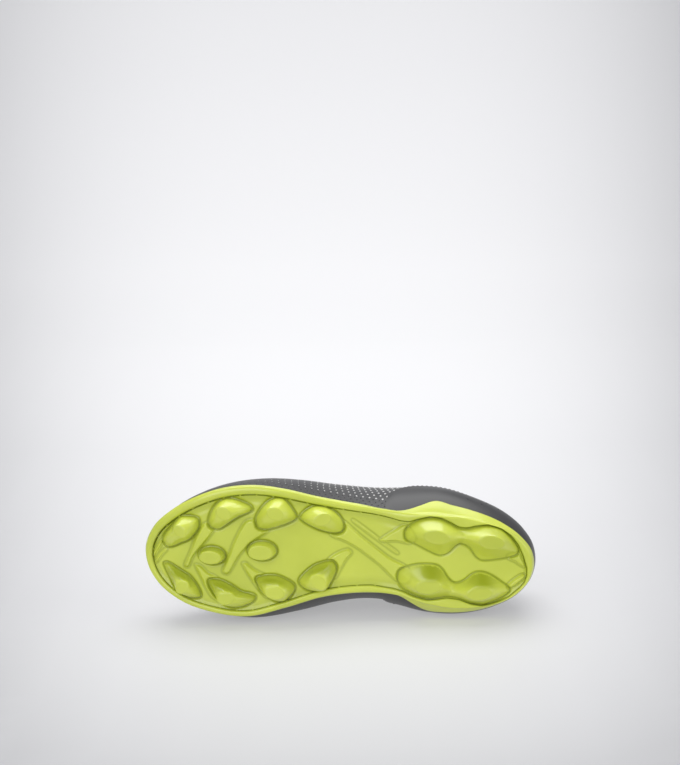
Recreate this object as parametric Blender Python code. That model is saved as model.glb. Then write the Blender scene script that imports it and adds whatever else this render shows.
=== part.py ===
"""Soccer cleat, one left shoe, lying empty on its medial side.

The shoe is modelled in its own frame: x from the back of the heel to the toe, y towards the
lateral (outer) side, z up from the ground under the studs. An empty then lays it on its side.
"""

import math

import bmesh
import bpy
import numpy as np
from mathutils import Matrix, Vector

# Driving dimensions, in metres
LENGTH = 0.284            # outsole, heel to toe
BALL_WIDTH = 0.0965       # outsole across the ball
HEEL_HEIGHT = 0.064       # collar above the plate, at the back of the heel
INSTEP_HEIGHT = 0.080     # top of the throat above the plate
TOE_SPRING = 0.013        # rise of the toe tip
ARCH_RISE = 0.005         # rise of the shank
STUD_HEIGHT = 0.012       # plate underside to stud tip
PLATE = 0.0020            # plate thickness
RIM_WALL = 0.0018         # lip of the plate that hugs the upper
RIM_DROP = 0.0014         # rim bead below the plate underside
RIM_BAND = 0.0070         # widest rim bead
WING_HEIGHT = 0.0090      # heel wings above the plate top
PAD_RISE = 0.0018         # heel pads below the plate underside
RIB_RISE = 0.0013         # ribs below the plate underside
UPPER_WALL = 0.0024
INSOLE = 0.0032
TONGUE = 0.0030
COUNTER_WALL = 0.0012
EYESTAY_WALL = 0.0010
LACE_WIDTH = 0.0060
LACE_THICKNESS = 0.0014
LACE_ARCH = 0.0016        # rise of a crossing over the throat's edges
TONGUE_CROWN = 0.0040     # arch of the tongue over the instep
TONGUE_DIP = 0.0014       # sink of the tongue before it goes under the vamp
TONGUE_REACH = 0.032      # tongue past the throat's top
TONGUE_RISE = 0.0040      # upward curl of its free end
LACE_ROWS = 5             # pairs of eyelets
LEAN_DEGREES = 4.5        # collar lower than the sole, as the shoe lies
PRESS = 0.0024            # how far the floor flattens the soft side of the ball
HEEL_PRESS = 0.0007       # how far the floor flattens the medial side of the heel
GAP = 0.0003              # clearance between pieces
HUG = 0.0006              # clearance of the sole's lip and the counter round the curved upper

# Mesh fineness
SIDE_COLUMNS = 36         # columns round each side, heel to toe
COLUMNS = 2 * SIDE_COLUMNS
RUNG_PARTS = 2            # faces across the plate
STUD_SIDES = 14

# Plan of the sole's lower corner, from the heel round the lateral side and the toe.
# Columns: along as a share of LENGTH, across as a share of BALL_WIDTH
OUTLINE = (
    (0.013, 0.000), (0.022, 0.110), (0.050, 0.205), (0.100, 0.290), (0.180, 0.350),
    (0.265, 0.372), (0.350, 0.380), (0.450, 0.415), (0.560, 0.470), (0.650, 0.527),
    (0.725, 0.548), (0.800, 0.520), (0.870, 0.443), (0.935, 0.322), (0.981, 0.180),
    (1.000, 0.030), (0.993, -0.110), (0.965, -0.240), (0.914, -0.350), (0.828, -0.430),
    (0.733, -0.450), (0.642, -0.378), (0.542, -0.290), (0.450, -0.255), (0.360, -0.262),
    (0.280, -0.318), (0.200, -0.343), (0.110, -0.303), (0.050, -0.215), (0.022, -0.115),
)

# Side view of the plate's underside.
# Columns: along, then the shares of TOE_SPRING and ARCH_RISE that lift it
SOLE_LINE = (
    (0.00, 0.10, 0.00),
    (0.10, 0.00, 0.00),
    (0.27, 0.00, 0.00),
    (0.40, 0.00, 1.00),
    (0.52, 0.00, 0.70),
    (0.64, 0.00, 0.00),
    (0.76, 0.04, 0.00),
    (0.88, 0.36, 0.00),
    (1.00, 1.00, 0.00),
)

# Rim of the sole. Columns: round the outline (0 heel, 0.5 toe), top as a share of WING_HEIGHT,
# bead as a share of RIM_BAND
RIM = (
    (0.000, 0.34, 0.66),
    (0.030, 0.30, 0.64),
    (0.060, 0.46, 0.62),
    (0.095, 0.68, 0.58),
    (0.120, 0.82, 0.54),
    (0.139, 1.00, 0.52),
    (0.153, 0.62, 0.58),
    (0.170, 0.20, 0.66),
    (0.230, 0.13, 0.80),
    (0.350, 0.13, 1.00),
    (0.430, 0.13, 1.00),
    (0.500, 0.20, 0.86),
    (0.570, 0.13, 0.70),
    (0.650, 0.13, 0.70),
    (0.770, 0.13, 0.86),
    (0.830, 0.20, 0.80),
    (0.847, 0.62, 0.62),
    (0.861, 1.00, 0.52),
    (0.880, 0.82, 0.54),
    (0.905, 0.68, 0.58),
    (0.940, 0.46, 0.62),
    (0.970, 0.30, 0.64),
)

# The upper's meridians, each a Bezier arc from the sole's edge to the collar or throat edge.
# Columns: round; edge point along and across; its height as shares of HEEL_HEIGHT and of
# INSTEP_HEIGHT; lower handle out (of BALL_WIDTH) and up (of the rise); upper handle out and down
UPPER = (
    (0.000, 0.034, 0.000, 1.00, 0.000, 0.125, 0.36, 0.010, 0.30),
    (0.050, 0.074, 0.192, 0.97, 0.000, 0.160, 0.36, 0.040, 0.32),
    (0.095, 0.145, 0.300, 0.89, 0.000, 0.210, 0.36, 0.085, 0.34),
    (0.140, 0.230, 0.364, 0.84, 0.030, 0.234, 0.36, 0.140, 0.34),
    (0.180, 0.305, 0.316, 0.55, 0.420, 0.220, 0.38, 0.185, 0.26),
    (0.212, 0.362, 0.214, 0.00, 1.000, 0.189, 0.40, 0.230, 0.16),
    (0.260, 0.425, 0.157, 0.00, 0.965, 0.165, 0.42, 0.275, 0.10),
    (0.310, 0.495, 0.128, 0.00, 0.895, 0.150, 0.42, 0.298, 0.09),
    (0.360, 0.560, 0.113, 0.00, 0.815, 0.128, 0.42, 0.318, 0.09),
    (0.410, 0.610, 0.095, 0.00, 0.755, 0.118, 0.42, 0.358, 0.11),
    (0.455, 0.638, 0.064, 0.00, 0.715, 0.105, 0.44, 0.400, 0.15),
    (0.500, 0.646, 0.000, 0.00, 0.700, 0.065, 0.44, 0.420, 0.18),
    (0.545, 0.638, -0.056, 0.00, 0.715, 0.094, 0.44, 0.403, 0.15),
    (0.590, 0.610, -0.088, 0.00, 0.755, 0.160, 0.42, 0.352, 0.11),
    (0.640, 0.560, -0.106, 0.00, 0.815, 0.225, 0.42, 0.303, 0.09),
    (0.690, 0.495, -0.122, 0.00, 0.895, 0.278, 0.44, 0.275, 0.09),
    (0.740, 0.425, -0.148, 0.00, 0.965, 0.300, 0.46, 0.237, 0.10),
    (0.788, 0.362, -0.190, 0.00, 1.000, 0.290, 0.46, 0.188, 0.16),
    (0.820, 0.305, -0.265, 0.55, 0.420, 0.260, 0.42, 0.136, 0.26),
    (0.860, 0.230, -0.310, 0.84, 0.030, 0.222, 0.38, 0.083, 0.34),
    (0.905, 0.145, -0.280, 0.89, 0.000, 0.190, 0.36, 0.048, 0.34),
    (0.950, 0.074, -0.185, 0.97, 0.000, 0.155, 0.36, 0.028, 0.32),
)
UPPER_ROWS = (0.0, 0.10, 0.21, 0.33, 0.46, 0.59, 0.71, 0.82, 0.91, 1.0)

# Top edge of the heel counter. Columns: round, share of the way up the upper
COUNTER = (
    (-0.195, 0.20), (-0.175, 0.42), (-0.150, 0.54), (-0.110, 0.64), (-0.060, 0.71), (0.000, 0.74),
    (0.060, 0.71), (0.110, 0.64), (0.150, 0.54), (0.175, 0.42), (0.195, 0.20),
)
COUNTER_PARTS = 4
THROAT_START = 0.212      # round share of the throat's top, on the lateral side
TONGUE_FRONT = 0.444      # round share where the tongue goes under the vamp
EYESTAY_START = 0.86      # lower edge of the eyestay, up the upper
EYELET_LINE = 0.93        # eyelets, up the upper
LACE_START = 0.915        # hidden end of a crossing, up the upper

# Feet of the forefoot studs: leaves between two end points.
# Columns: from along, from across, to along, to across, bulge on the left and on the right of
# the way (shares of BALL_WIDTH)
LEAF_FEET = (
    (0.947, 0.055, 0.864, 0.292, 0.075, 0.090),
    (0.832, 0.220, 0.727, 0.392, 0.040, 0.110),
    (0.714, 0.250, 0.616, 0.340, 0.045, 0.165),
    (0.609, 0.345, 0.497, 0.225, 0.080, 0.090),
    (0.951, -0.085, 0.855, -0.322, 0.080, 0.060),
    (0.836, -0.195, 0.716, -0.308, 0.090, 0.055),
    (0.713, -0.165, 0.618, -0.230, 0.120, 0.070),
    (0.604, -0.190, 0.515, -0.045, 0.105, 0.085),
)

# Feet of the two round studs on the middle of the ball.
# Columns: along, across, half length, half width
OVAL_FEET = (
    (0.827, 0.004, 0.100, 0.068),
    (0.700, 0.062, 0.107, 0.072),
)

# Heel pads, each pinched between its two studs. Columns: as LEAF_FEET, then the pinch
HEEL_PADS = (
    (0.340, 0.215, 0.056, 0.120, 0.150, 0.145, 0.36),
    (0.353, -0.110, 0.072, -0.195, 0.125, 0.125, 0.36),
)

# Ribs. Columns: from along, from across, to along, to across, half width at each end
RIBS = (
    (0.836, 0.230, 0.894, -0.078, 0.045, 0.022),
    (0.714, 0.240, 0.791, -0.108, 0.080, 0.026),
    (0.520, 0.235, 0.345, -0.085, 0.085, 0.065),
    (0.336, 0.215, 0.402, 0.165, 0.070, 0.012),
    (0.540, -0.080, 0.476, 0.065, 0.090, 0.012),
    (0.828, -0.230, 0.866, -0.080, 0.050, 0.012),
    (0.690, -0.215, 0.751, -0.042, 0.065, 0.012),
)

# Flat tips of the studs: those on LEAF_FEET, then on OVAL_FEET, then on the heel pads.
# Columns: along, across, half length and half width (of BALL_WIDTH), turn in degrees,
# height as a share of STUD_HEIGHT
TIPS = (
    (0.908, 0.203, 0.055, 0.036, 45, 0.96),
    (0.798, 0.357, 0.058, 0.043, 32, 1.00),
    (0.670, 0.368, 0.060, 0.042, 22, 1.00),
    (0.552, 0.329, 0.062, 0.042, -22, 1.00),
    (0.904, -0.231, 0.055, 0.040, -45, 0.96),
    (0.791, -0.287, 0.064, 0.044, -20, 1.00),
    (0.668, -0.229, 0.070, 0.047, 10, 1.00),
    (0.557, -0.152, 0.066, 0.046, 40, 1.00),
    (0.832, 0.012, 0.082, 0.047, 0, 0.80),
    (0.705, 0.072, 0.088, 0.052, 0, 0.80),
    (0.266, 0.229, 0.090, 0.050, 8, 1.00),
    (0.126, 0.196, 0.090, 0.050, 8, 1.00),
    (0.281, -0.154, 0.090, 0.050, -8, 1.00),
    (0.150, -0.196, 0.090, 0.050, -8, 1.00),
)
HEEL_FOOT = (0.172, 0.112)  # half length and half width of a heel stud's foot, of BALL_WIDTH

# Side of a stud. Columns: share of the way from its foot to its tip in plan, and in height
STUD_SIDE = (
    (0.00, 0.00),
    (0.28, 0.46),
    (0.72, 0.87),
    (1.00, 1.00),
)


def smooth(rows, at, period=None):
    """Values of a table at the given keys, on smooth arcs through its rows."""
    rows = np.array(rows, float)
    if period:
        before, after = rows[-2:].copy(), rows[:2].copy()
        before[:, 0] -= period
        after[:, 0] += period
        rows = np.concatenate([before, rows, after])
    keys, values = rows[:, 0], rows[:, 1:]
    slopes = np.gradient(values, keys, axis=0)
    at = np.clip(np.asarray(at, float), keys[0], keys[-1])
    low = np.clip(np.searchsorted(keys, at, side="right") - 1, 0, len(keys) - 2)
    span = (keys[low + 1] - keys[low])[..., None]
    part = (at[..., None] - keys[low][..., None]) / span
    near = (1 + 2 * part) * (1 - part) ** 2
    return (
        near * values[low]
        + (1 - near) * values[low + 1]
        + part * (1 - part) ** 2 * span * slopes[low]
        - part**2 * (1 - part) * span * slopes[low + 1]
    )


def outline_columns():
    """Points of the sole's plan, evenly spaced round each side, and their outward normals."""
    corners = np.array(OUTLINE) * (LENGTH, BALL_WIDTH)
    steps = np.linalg.norm(np.roll(corners, -1, 0) - corners, axis=1)
    keys = np.concatenate([[0], np.cumsum(steps)[:-1]])
    fine = smooth(np.column_stack([keys, corners]), np.linspace(0, steps.sum(), 1441)[:-1], steps.sum())
    fine = np.roll(fine, -int(np.argmin(fine[:, 0])), 0)
    toe = int(np.argmax(fine[:, 0]))
    sides = []
    for side in (fine[: toe + 1], np.concatenate([fine[toe:], fine[:1]])):
        run = np.concatenate([[0], np.cumsum(np.linalg.norm(np.diff(side, axis=0), axis=1))])
        even = np.linspace(0, run[-1], SIDE_COLUMNS + 1)[:-1]
        sides.append(np.column_stack([np.interp(even, run, side[:, k]) for k in (0, 1)]))
    plan = np.concatenate(sides)
    way = np.roll(plan, -1, 0) - np.roll(plan, 1, 0)
    out = np.column_stack([-way[:, 1], way[:, 0]])
    return plan, out / np.linalg.norm(out, axis=1)[:, None]


ROUND = np.arange(COLUMNS) / COLUMNS
PLAN, OUTWARD = outline_columns()


def underside(x):
    """Height of the plate's underside at x."""
    lift = smooth(SOLE_LINE, np.asarray(x, float) / LENGTH)
    return STUD_HEIGHT + lift[..., 0] * TOE_SPRING + lift[..., 1] * ARCH_RISE


def on_height(plan, height):
    """Plan points set at a height, which is a number, an array or a function of x."""
    z = height(plan[..., 0]) if callable(height) else np.broadcast_to(height, plan.shape[:-1])
    return np.concatenate([plan, np.asarray(z)[..., None]], axis=-1)


def plate_top(x):
    return underside(x) + PLATE


def seat_top(x):
    return plate_top(x) + GAP


def insole_top(x):
    return seat_top(x) + INSOLE


def meridian_handles():
    """The four Bezier points of each column's meridian, on the outside of the upper."""
    table = smooth(UPPER, ROUND, 1.0)
    foot = on_height(PLAN - OUTWARD * (RIM_WALL + HUG), seat_top)
    edge = table[:, :2] * (LENGTH, BALL_WIDTH)
    edge = on_height(edge, plate_top(edge[:, 0]) + table[:, 2] * HEEL_HEIGHT + table[:, 3] * INSTEP_HEIGHT)
    rise = edge[:, 2] - foot[:, 2]
    low = foot.copy()
    low[:, :2] += OUTWARD * (table[:, 4] * BALL_WIDTH)[:, None]
    low[:, 2] += table[:, 5] * rise
    high = edge.copy()
    high[:, :2] += OUTWARD * (table[:, 6] * BALL_WIDTH)[:, None]
    high[:, 2] -= table[:, 7] * rise
    return foot, low, high, edge


HANDLES = meridian_handles()


def free_surface(up, lift=0.0):
    """Points of the upper's outer face for an array of shares (column, row), lifted off it."""
    foot, low, high, edge = (handle[:, None, :] for handle in HANDLES)
    up = np.broadcast_to(up, (COLUMNS, np.shape(up)[-1]))[..., None]
    points = (
        (1 - up) ** 3 * foot + 3 * (1 - up) ** 2 * up * low + 3 * (1 - up) * up**2 * high + up**3 * edge
    )
    climb = (1 - up) ** 2 * (low - foot) + 2 * (1 - up) * up * (high - low) + up**2 * (edge - high)
    along = np.roll(points, -1, 0) - np.roll(points, 1, 0)
    normal = np.cross(climb, along)
    normal /= np.linalg.norm(normal, axis=-1)[..., None]
    return points + normal * lift


def share_at_height(height):
    """Share of the way up each meridian where it stands this much over the plate's top."""
    shares = np.linspace(0, 1, 101)
    heights = free_surface(shares)[..., 2]
    wanted = heights[:, 0] + height
    return np.array([np.interp(z, row, shares) for z, row in zip(wanted, heights)])


def floor_plane():
    """The floor under the lying shoe: it flattens the medial side of the heel and the ball a little."""
    rim_top = share_at_height(smooth(RIM, ROUND, 1.0)[:, 0] * WING_HEIGHT)[:, None]
    wing = free_surface(rim_top, HUG + RIM_WALL)[:, 0]
    cup = free_surface(np.array((0.2, 0.3, 0.4, 0.5)), HUG + COUNTER_WALL).reshape(-1, 3)
    heel = np.concatenate([wing, cup])
    heel = heel[heel[:, 0] < LENGTH / 4]
    ball = free_surface(np.array(UPPER_ROWS)).reshape(-1, 3)
    ball = ball[ball[:, 0] > LENGTH / 2]
    lean = math.radians(LEAN_DEGREES)
    low, high = 0.0, math.radians(12)
    for _ in range(40):
        yaw = (low + high) / 2
        down = np.array((-math.sin(yaw), -math.cos(yaw) * math.cos(lean), math.cos(yaw) * math.sin(lean)))
        if (ball @ down).max() - PRESS > (heel @ down).max() - HEEL_PRESS:
            low = yaw
        else:
            high = yaw
    return down, (heel @ down).max() - HEEL_PRESS


FLOOR_DOWN, FLOOR_REACH = floor_plane()


def surface(up, lift=0.0):
    """The upper's face as it lies: lifted off the outer face, and flat where the floor meets it."""
    points = free_surface(up, lift)
    past = points @ FLOOR_DOWN - (FLOOR_REACH + min(lift, 0))
    return points - np.maximum(past, 0)[..., None] * FLOOR_DOWN


def material(name, colour, roughness, metallic=0.0):
    found = bpy.data.materials.new(name)
    found.use_nodes = True
    shader = found.node_tree.nodes["Principled BSDF"]
    shader.inputs["Base Color"].default_value = (*colour, 1)
    shader.inputs["Roughness"].default_value = roughness
    shader.inputs["Metallic"].default_value = metallic
    return found


def finish(bm, name, colour=None):
    """Turns a bmesh into an object with outward triangles, smooth but for its sharp edges."""
    bmesh.ops.recalc_face_normals(bm, faces=bm.faces)
    bmesh.ops.triangulate(bm, faces=bm.faces)
    mesh = bpy.data.meshes.new(name)
    bm.to_mesh(mesh)
    bm.free()
    mesh.shade_smooth()
    mesh.set_sharp_from_angle(angle=math.radians(40))
    shape = bpy.data.objects.new(name, mesh)
    bpy.context.scene.collection.objects.link(shape)
    if colour:
        mesh.materials.append(colour)
    return shape


def ring(bm, points):
    return [bm.verts.new(point) for point in points]


def skin(bm, first, second, closed=True):
    """Quads between two rows of vertices."""
    last = len(first) if closed else len(first) - 1
    for a in range(last):
        b = (a + 1) % len(first)
        bm.faces.new((first[a], first[b], second[b], second[a]))


def ladder(bm, edge, height):
    """Fills a ring of columns with rungs from each lateral column to its medial partner."""
    rungs = []
    for column in range(1, SIDE_COLUMNS):
        start, end = edge[column], edge[COLUMNS - column]
        inner = []
        for part in range(1, RUNG_PARTS):
            x, y, _ = start.co.lerp(end.co, part / RUNG_PARTS)
            inner.append(bm.verts.new((x, y, float(height(x)))))
        rungs.append([start, *inner, end])
    for first, second in zip(rungs, rungs[1:]):
        skin(bm, first, second, closed=False)
    for tip, rung in ((edge[0], rungs[0]), (edge[SIDE_COLUMNS], rungs[-1])):
        for a, b in zip(rung, rung[1:]):
            bm.faces.new((tip, a, b))


def sheet(outer, inner, name, colour, closed):
    """A wall between two grids (column, row); closed where its columns run all the way round."""
    bm = bmesh.new()
    faces = [[ring(bm, column) for column in grid] for grid in (outer, inner)]
    for grid in faces:
        pairs = list(zip(grid, grid[1:])) + ([(grid[-1], grid[0])] if closed else [])
        for first, second in pairs:
            skin(bm, first, second, closed=False)
    for row in (0, -1):
        skin(bm, [column[row] for column in faces[0]], [column[row] for column in faces[1]], closed)
    if not closed:
        for column in (0, -1):
            skin(bm, faces[0][column], faces[1][column], closed=False)
    return finish(bm, name, colour)


def plate_and_rim():
    """The moulded plate with its rim bead, lip and heel wings."""
    rim = smooth(RIM, ROUND, 1.0)
    band = (rim[:, 1] * RIM_BAND)[:, None]
    top_share = share_at_height(rim[:, 0] * WING_HEIGHT)[:, None]
    low = underside
    lip = surface(top_share * (0.30, 1.0), HUG + RIM_WALL)
    crest = surface(top_share, HUG + RIM_WALL / 2) + (0, 0, RIM_WALL / 3)
    hug = surface(top_share * (1.0, 0.30), HUG)
    bm = bmesh.new()
    rows = [
        on_height(PLAN - OUTWARD * band, low),
        on_height(PLAN - OUTWARD * band * 0.80, lambda x: low(x) - RIM_DROP * 0.8),
        on_height(PLAN - OUTWARD * band * 0.45, lambda x: low(x) - RIM_DROP),
        on_height(PLAN - OUTWARD * band * 0.10, lambda x: low(x) - RIM_DROP * 0.4),
        on_height(PLAN, lambda x: low(x) + PLATE * 0.45),
        lip[:, 0], lip[:, 1], crest[:, 0], hug[:, 0], hug[:, 1],
        on_height(PLAN - OUTWARD * RIM_WALL, plate_top),
        on_height(PLAN - OUTWARD * (RIM_WALL + HUG + 2 * UPPER_WALL), plate_top),
    ]
    rings = [ring(bm, row) for row in rows]
    for first, second in zip(rings, rings[1:]):
        skin(bm, first, second)
    ladder(bm, rings[0], low)
    ladder(bm, rings[-1], plate_top)
    return bm


def leaf(start, end, left, right, pinch=0.0):
    """Plan outline of a pad between two points, rounded at both ends, bulging to each side."""
    start = np.array(start) * (LENGTH, BALL_WIDTH)
    end = np.array(end) * (LENGTH, BALL_WIDTH)
    way = end - start
    side = np.array((-way[1], way[0])) / np.linalg.norm(way)
    turns = np.arange(STUD_SIDES) * 2 * math.pi / STUD_SIDES
    along = (1 - np.cos(turns)) / 2
    waist = 1 - pinch * np.exp(-(((along - 0.5) / 0.14) ** 2))
    reach = np.abs(np.sin(turns)) ** 0.85 * waist * BALL_WIDTH
    bulge = np.where(np.sin(turns) > 0, left, -right) * reach
    return start + along[:, None] * way + bulge[:, None] * side


def bar(start, end, start_half, end_half):
    """Plan outline of a rib that tapers between two points, with a round far end."""
    start = np.array(start) * (LENGTH, BALL_WIDTH)
    end = np.array(end) * (LENGTH, BALL_WIDTH)
    way = (end - start) / np.linalg.norm(end - start)
    side = np.array((-way[1], way[0]))
    near, far = start_half * BALL_WIDTH, end_half * BALL_WIDTH
    turns = np.linspace(-math.pi / 2, math.pi / 2, 5)
    tip = end + far * (np.cos(turns)[:, None] * way + np.sin(turns)[:, None] * side)
    middle = (start + end) / 2
    waist = 0.45 * near + 0.55 * far
    return np.array([
        start + side * near, start - side * near, middle - side * waist, *tip, middle + side * waist,
    ])


def relief(outline, rise, name):
    """A low form on the plate's underside: its outline, stepped in a little at the top."""
    centre = outline.mean(axis=0)
    inner = centre + (outline - centre) * (1 - rise / np.ptp(outline, axis=0).max())
    bm = bmesh.new()
    rings = [
        ring(bm, on_height(outline, lambda x: underside(x) + PLATE / 2)),
        ring(bm, on_height(outline, lambda x: underside(x) - rise * 0.55)),
        ring(bm, on_height(inner, lambda x: underside(x) - rise)),
    ]
    for first, second in zip(rings, rings[1:]):
        skin(bm, first, second)
    for edge, height in ((rings[0], PLATE / 2), (rings[-1], -rise)):
        middle = bm.verts.new((*centre, float(underside(centre[0])) + height))
        for a, b in zip(edge, edge[1:] + edge[:1]):
            bm.faces.new((a, b, middle))
    return helper(finish(bm, name))


def helper(shape):
    """Marks a shape that only adds to another."""
    shape.hide_render = True
    shape.display_type = "WIRE"
    return shape


def tip_oval(row):
    """Middle, half sizes and turn of a stud's tip in plan."""
    along, across, half_length, half_width, turn, _ = row
    middle = np.array((along * LENGTH, across * BALL_WIDTH))
    return middle, np.array((half_length, half_width)) * BALL_WIDTH, math.radians(turn)


def oval(middle, half, turn):
    """Plan outline of an oval."""
    turns = np.arange(STUD_SIDES) * 2 * math.pi / STUD_SIDES
    x, y = half[0] * np.cos(turns), half[1] * np.sin(turns)
    return middle + np.column_stack([
        x * math.cos(turn) - y * math.sin(turn), x * math.sin(turn) + y * math.cos(turn),
    ])


def stud(foot, row, name):
    """A stud that rises from its outline on the plate, by a domed side, to a flat oval tip."""
    middle, half, turn = tip_oval(row)
    way = foot - middle
    bearing = np.arctan2(way[:, 1], way[:, 0]) - turn
    reach = half[0] * half[1] / np.hypot(half[1] * np.cos(bearing), half[0] * np.sin(bearing))
    tip = middle + way / np.linalg.norm(way, axis=1)[:, None] * reach[:, None]
    x = middle[0]
    step = 0.001
    slope = float(underside(x + step) - underside(x - step)) / (2 * step)
    level = float(underside(x))
    bm = bmesh.new()
    rings = [ring(bm, on_height(foot, lambda x: underside(x) + PLATE / 2))]
    for part, climb in STUD_SIDE:
        plan = foot + (tip - foot) * part
        flat = level + slope * (plan[:, 0] - x)
        base = underside(plan[:, 0]) * (1 - part) + flat * part
        rings.append(ring(bm, on_height(plan, base - climb * row[5] * STUD_HEIGHT)))
    for first, second in zip(rings, rings[1:]):
        skin(bm, first, second)
    middle_vertex = bm.verts.new((*foot.mean(axis=0), float(underside(foot[:, 0].mean())) + PLATE / 2))
    for a, b in zip(rings[0], rings[0][1:] + rings[0][:1]):
        bm.faces.new((a, b, middle_vertex))
    bm.faces.new(rings[-1])
    return helper(finish(bm, name))


def outsole(colour):
    """Plate, heel pads, ribs and studs, moulded as one."""
    moulding = bpy.data.collections.new("outsole_relief")
    bpy.context.scene.collection.children.link(moulding)
    shapes = [relief(bar(row[:2], row[2:4], *row[4:]), RIB_RISE, f"rib_{i}") for i, row in enumerate(RIBS)]
    for i, row in enumerate(HEEL_PADS):
        shapes.append(relief(leaf(row[:2], row[2:4], *row[4:]), PAD_RISE, f"heel_pad_{i}"))
    feet = [leaf(row[:2], row[2:4], *row[4:]) for row in LEAF_FEET]
    for along, across, half_length, half_width in OVAL_FEET:
        half = np.array((half_length, half_width)) * BALL_WIDTH
        feet.append(oval(np.array((along * LENGTH, across * BALL_WIDTH)), half, 0.0))
    for row in TIPS[len(feet):]:
        middle, _, turn = tip_oval(row)
        feet.append(oval(middle, np.array(HEEL_FOOT) * BALL_WIDTH, turn))
    shapes += [stud(foot, row, f"stud_{i}") for i, (foot, row) in enumerate(zip(feet, TIPS))]
    for shape in shapes:
        bpy.context.scene.collection.objects.unlink(shape)
        moulding.objects.link(shape)
    sole = finish(plate_and_rim(), "outsole", colour)
    join = sole.modifiers.new("moulding", "BOOLEAN")
    join.operation = "UNION"
    join.operand_type = "COLLECTION"
    join.collection = moulding
    return sole


def upper(colour):
    """The hollow upper, from the sole's edge to the collar and throat."""
    rows = np.array(UPPER_ROWS)
    return sheet(surface(rows), surface(rows, -UPPER_WALL), "upper", colour, closed=True)


def insole(colour):
    """Sockliner on the plate, inside the upper."""
    inset = RIM_WALL + HUG + UPPER_WALL + 2 * GAP
    bm = bmesh.new()
    low = ring(bm, on_height(PLAN - OUTWARD * (inset + GAP), seat_top))
    high = ring(bm, on_height(PLAN - OUTWARD * inset, insole_top))
    skin(bm, low, high)
    ladder(bm, low, seat_top)
    ladder(bm, high, insole_top)
    return finish(bm, "insole", colour)


def columns_between(start, end):
    """Column numbers from one round share to another, which may pass the heel."""
    return [c % COLUMNS for c in range(round(start * COLUMNS), round(end * COLUMNS) + 1)]


def heel_counter(colour):
    """Stiff cup on the outside of the heel, above the sole's wings."""
    table = np.array(COUNTER)
    chosen = columns_between(table[0, 0], table[-1, 0])
    wrapped = np.where(ROUND > 0.5, ROUND - 1, ROUND)
    top = smooth(COUNTER, wrapped)
    rim = smooth(RIM, ROUND, 1.0)[:, 0] * WING_HEIGHT + RIM_WALL / 3 + 2 * GAP
    bottom = share_at_height(rim)[:, None]
    rows = bottom + (top - bottom) * np.linspace(0, 1, COUNTER_PARTS + 1)
    outer = surface(rows, HUG + COUNTER_WALL)[chosen]
    inner = surface(rows, HUG)[chosen]
    return sheet(outer, inner, "heel_counter", colour, closed=False)


def eyestay(colour):
    """Reinforcement round the throat."""
    chosen = columns_between(THROAT_START, 1 - THROAT_START)
    rows = np.linspace(EYESTAY_START, 1, 3)
    outer = surface(rows, GAP + EYESTAY_WALL)[chosen]
    inner = surface(rows, GAP)[chosen]
    return sheet(outer, inner, "eyestay", colour, closed=False)


def resample(points, count):
    """A row of points set evenly along the same broken line."""
    run = np.linspace(0, len(points) - 1, count)
    return np.column_stack([np.interp(run, np.arange(len(points)), points[:, k]) for k in range(3)])


def tongue_grid():
    """Top face of the tongue: rows from its free end to its seat under the vamp."""
    under = -(UPPER_WALL + 2 * GAP)
    sides = surface(np.array(UPPER_ROWS[-3:]), under)
    first, last = round(THROAT_START * COLUMNS) + 2, round(TONGUE_FRONT * COLUMNS)
    rows = []
    for column in range(first, last + 1):
        near, far = sides[column], sides[COLUMNS - column][::-1]
        part = ((column - first) / (last - first)) ** 2
        crown = TONGUE_CROWN * (1 - part) - TONGUE_DIP * part
        middle = [
            near[-1] + (far[0] - near[-1]) * step + (0, 0, crown * 4 * step * (1 - step))
            for step in (0.25, 0.5, 0.75)
        ]
        rows.append(np.array([*near, *middle, *far]))
    front = sides[last + 1 : COLUMNS - last, 0]
    rows.append(resample(front, len(rows[0])))
    free = resample(rows[0][2:-2], len(rows[0]))
    step = (rows[0] - rows[1])[4]
    step *= TONGUE_REACH / 2 / np.linalg.norm(step)
    rows[0] = free
    for count, narrow in ((1, 0.84), (2, 0.76)):
        rows.insert(0, free * (1, narrow, 1) + step * count + (0, 0, TONGUE_RISE * count**2 / 4))
    return np.array(rows)


def grid_normals(grid):
    """Unit normals of a grid, up from its face."""
    normal = np.cross(np.gradient(grid, axis=1), np.gradient(grid, axis=0))
    normal *= np.sign(normal[..., 2:].mean())
    return normal / np.linalg.norm(normal, axis=-1)[..., None]


def tongue(colour):
    top = tongue_grid()
    return sheet(top, top - grid_normals(top) * TONGUE, "tongue", colour, closed=False)


def between_columns(grid, places):
    """Points of one row of the surface at fractional column numbers."""
    numbers = np.arange(COLUMNS)
    return np.column_stack([np.interp(places, numbers, grid[:, k]) for k in range(3)])


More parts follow.
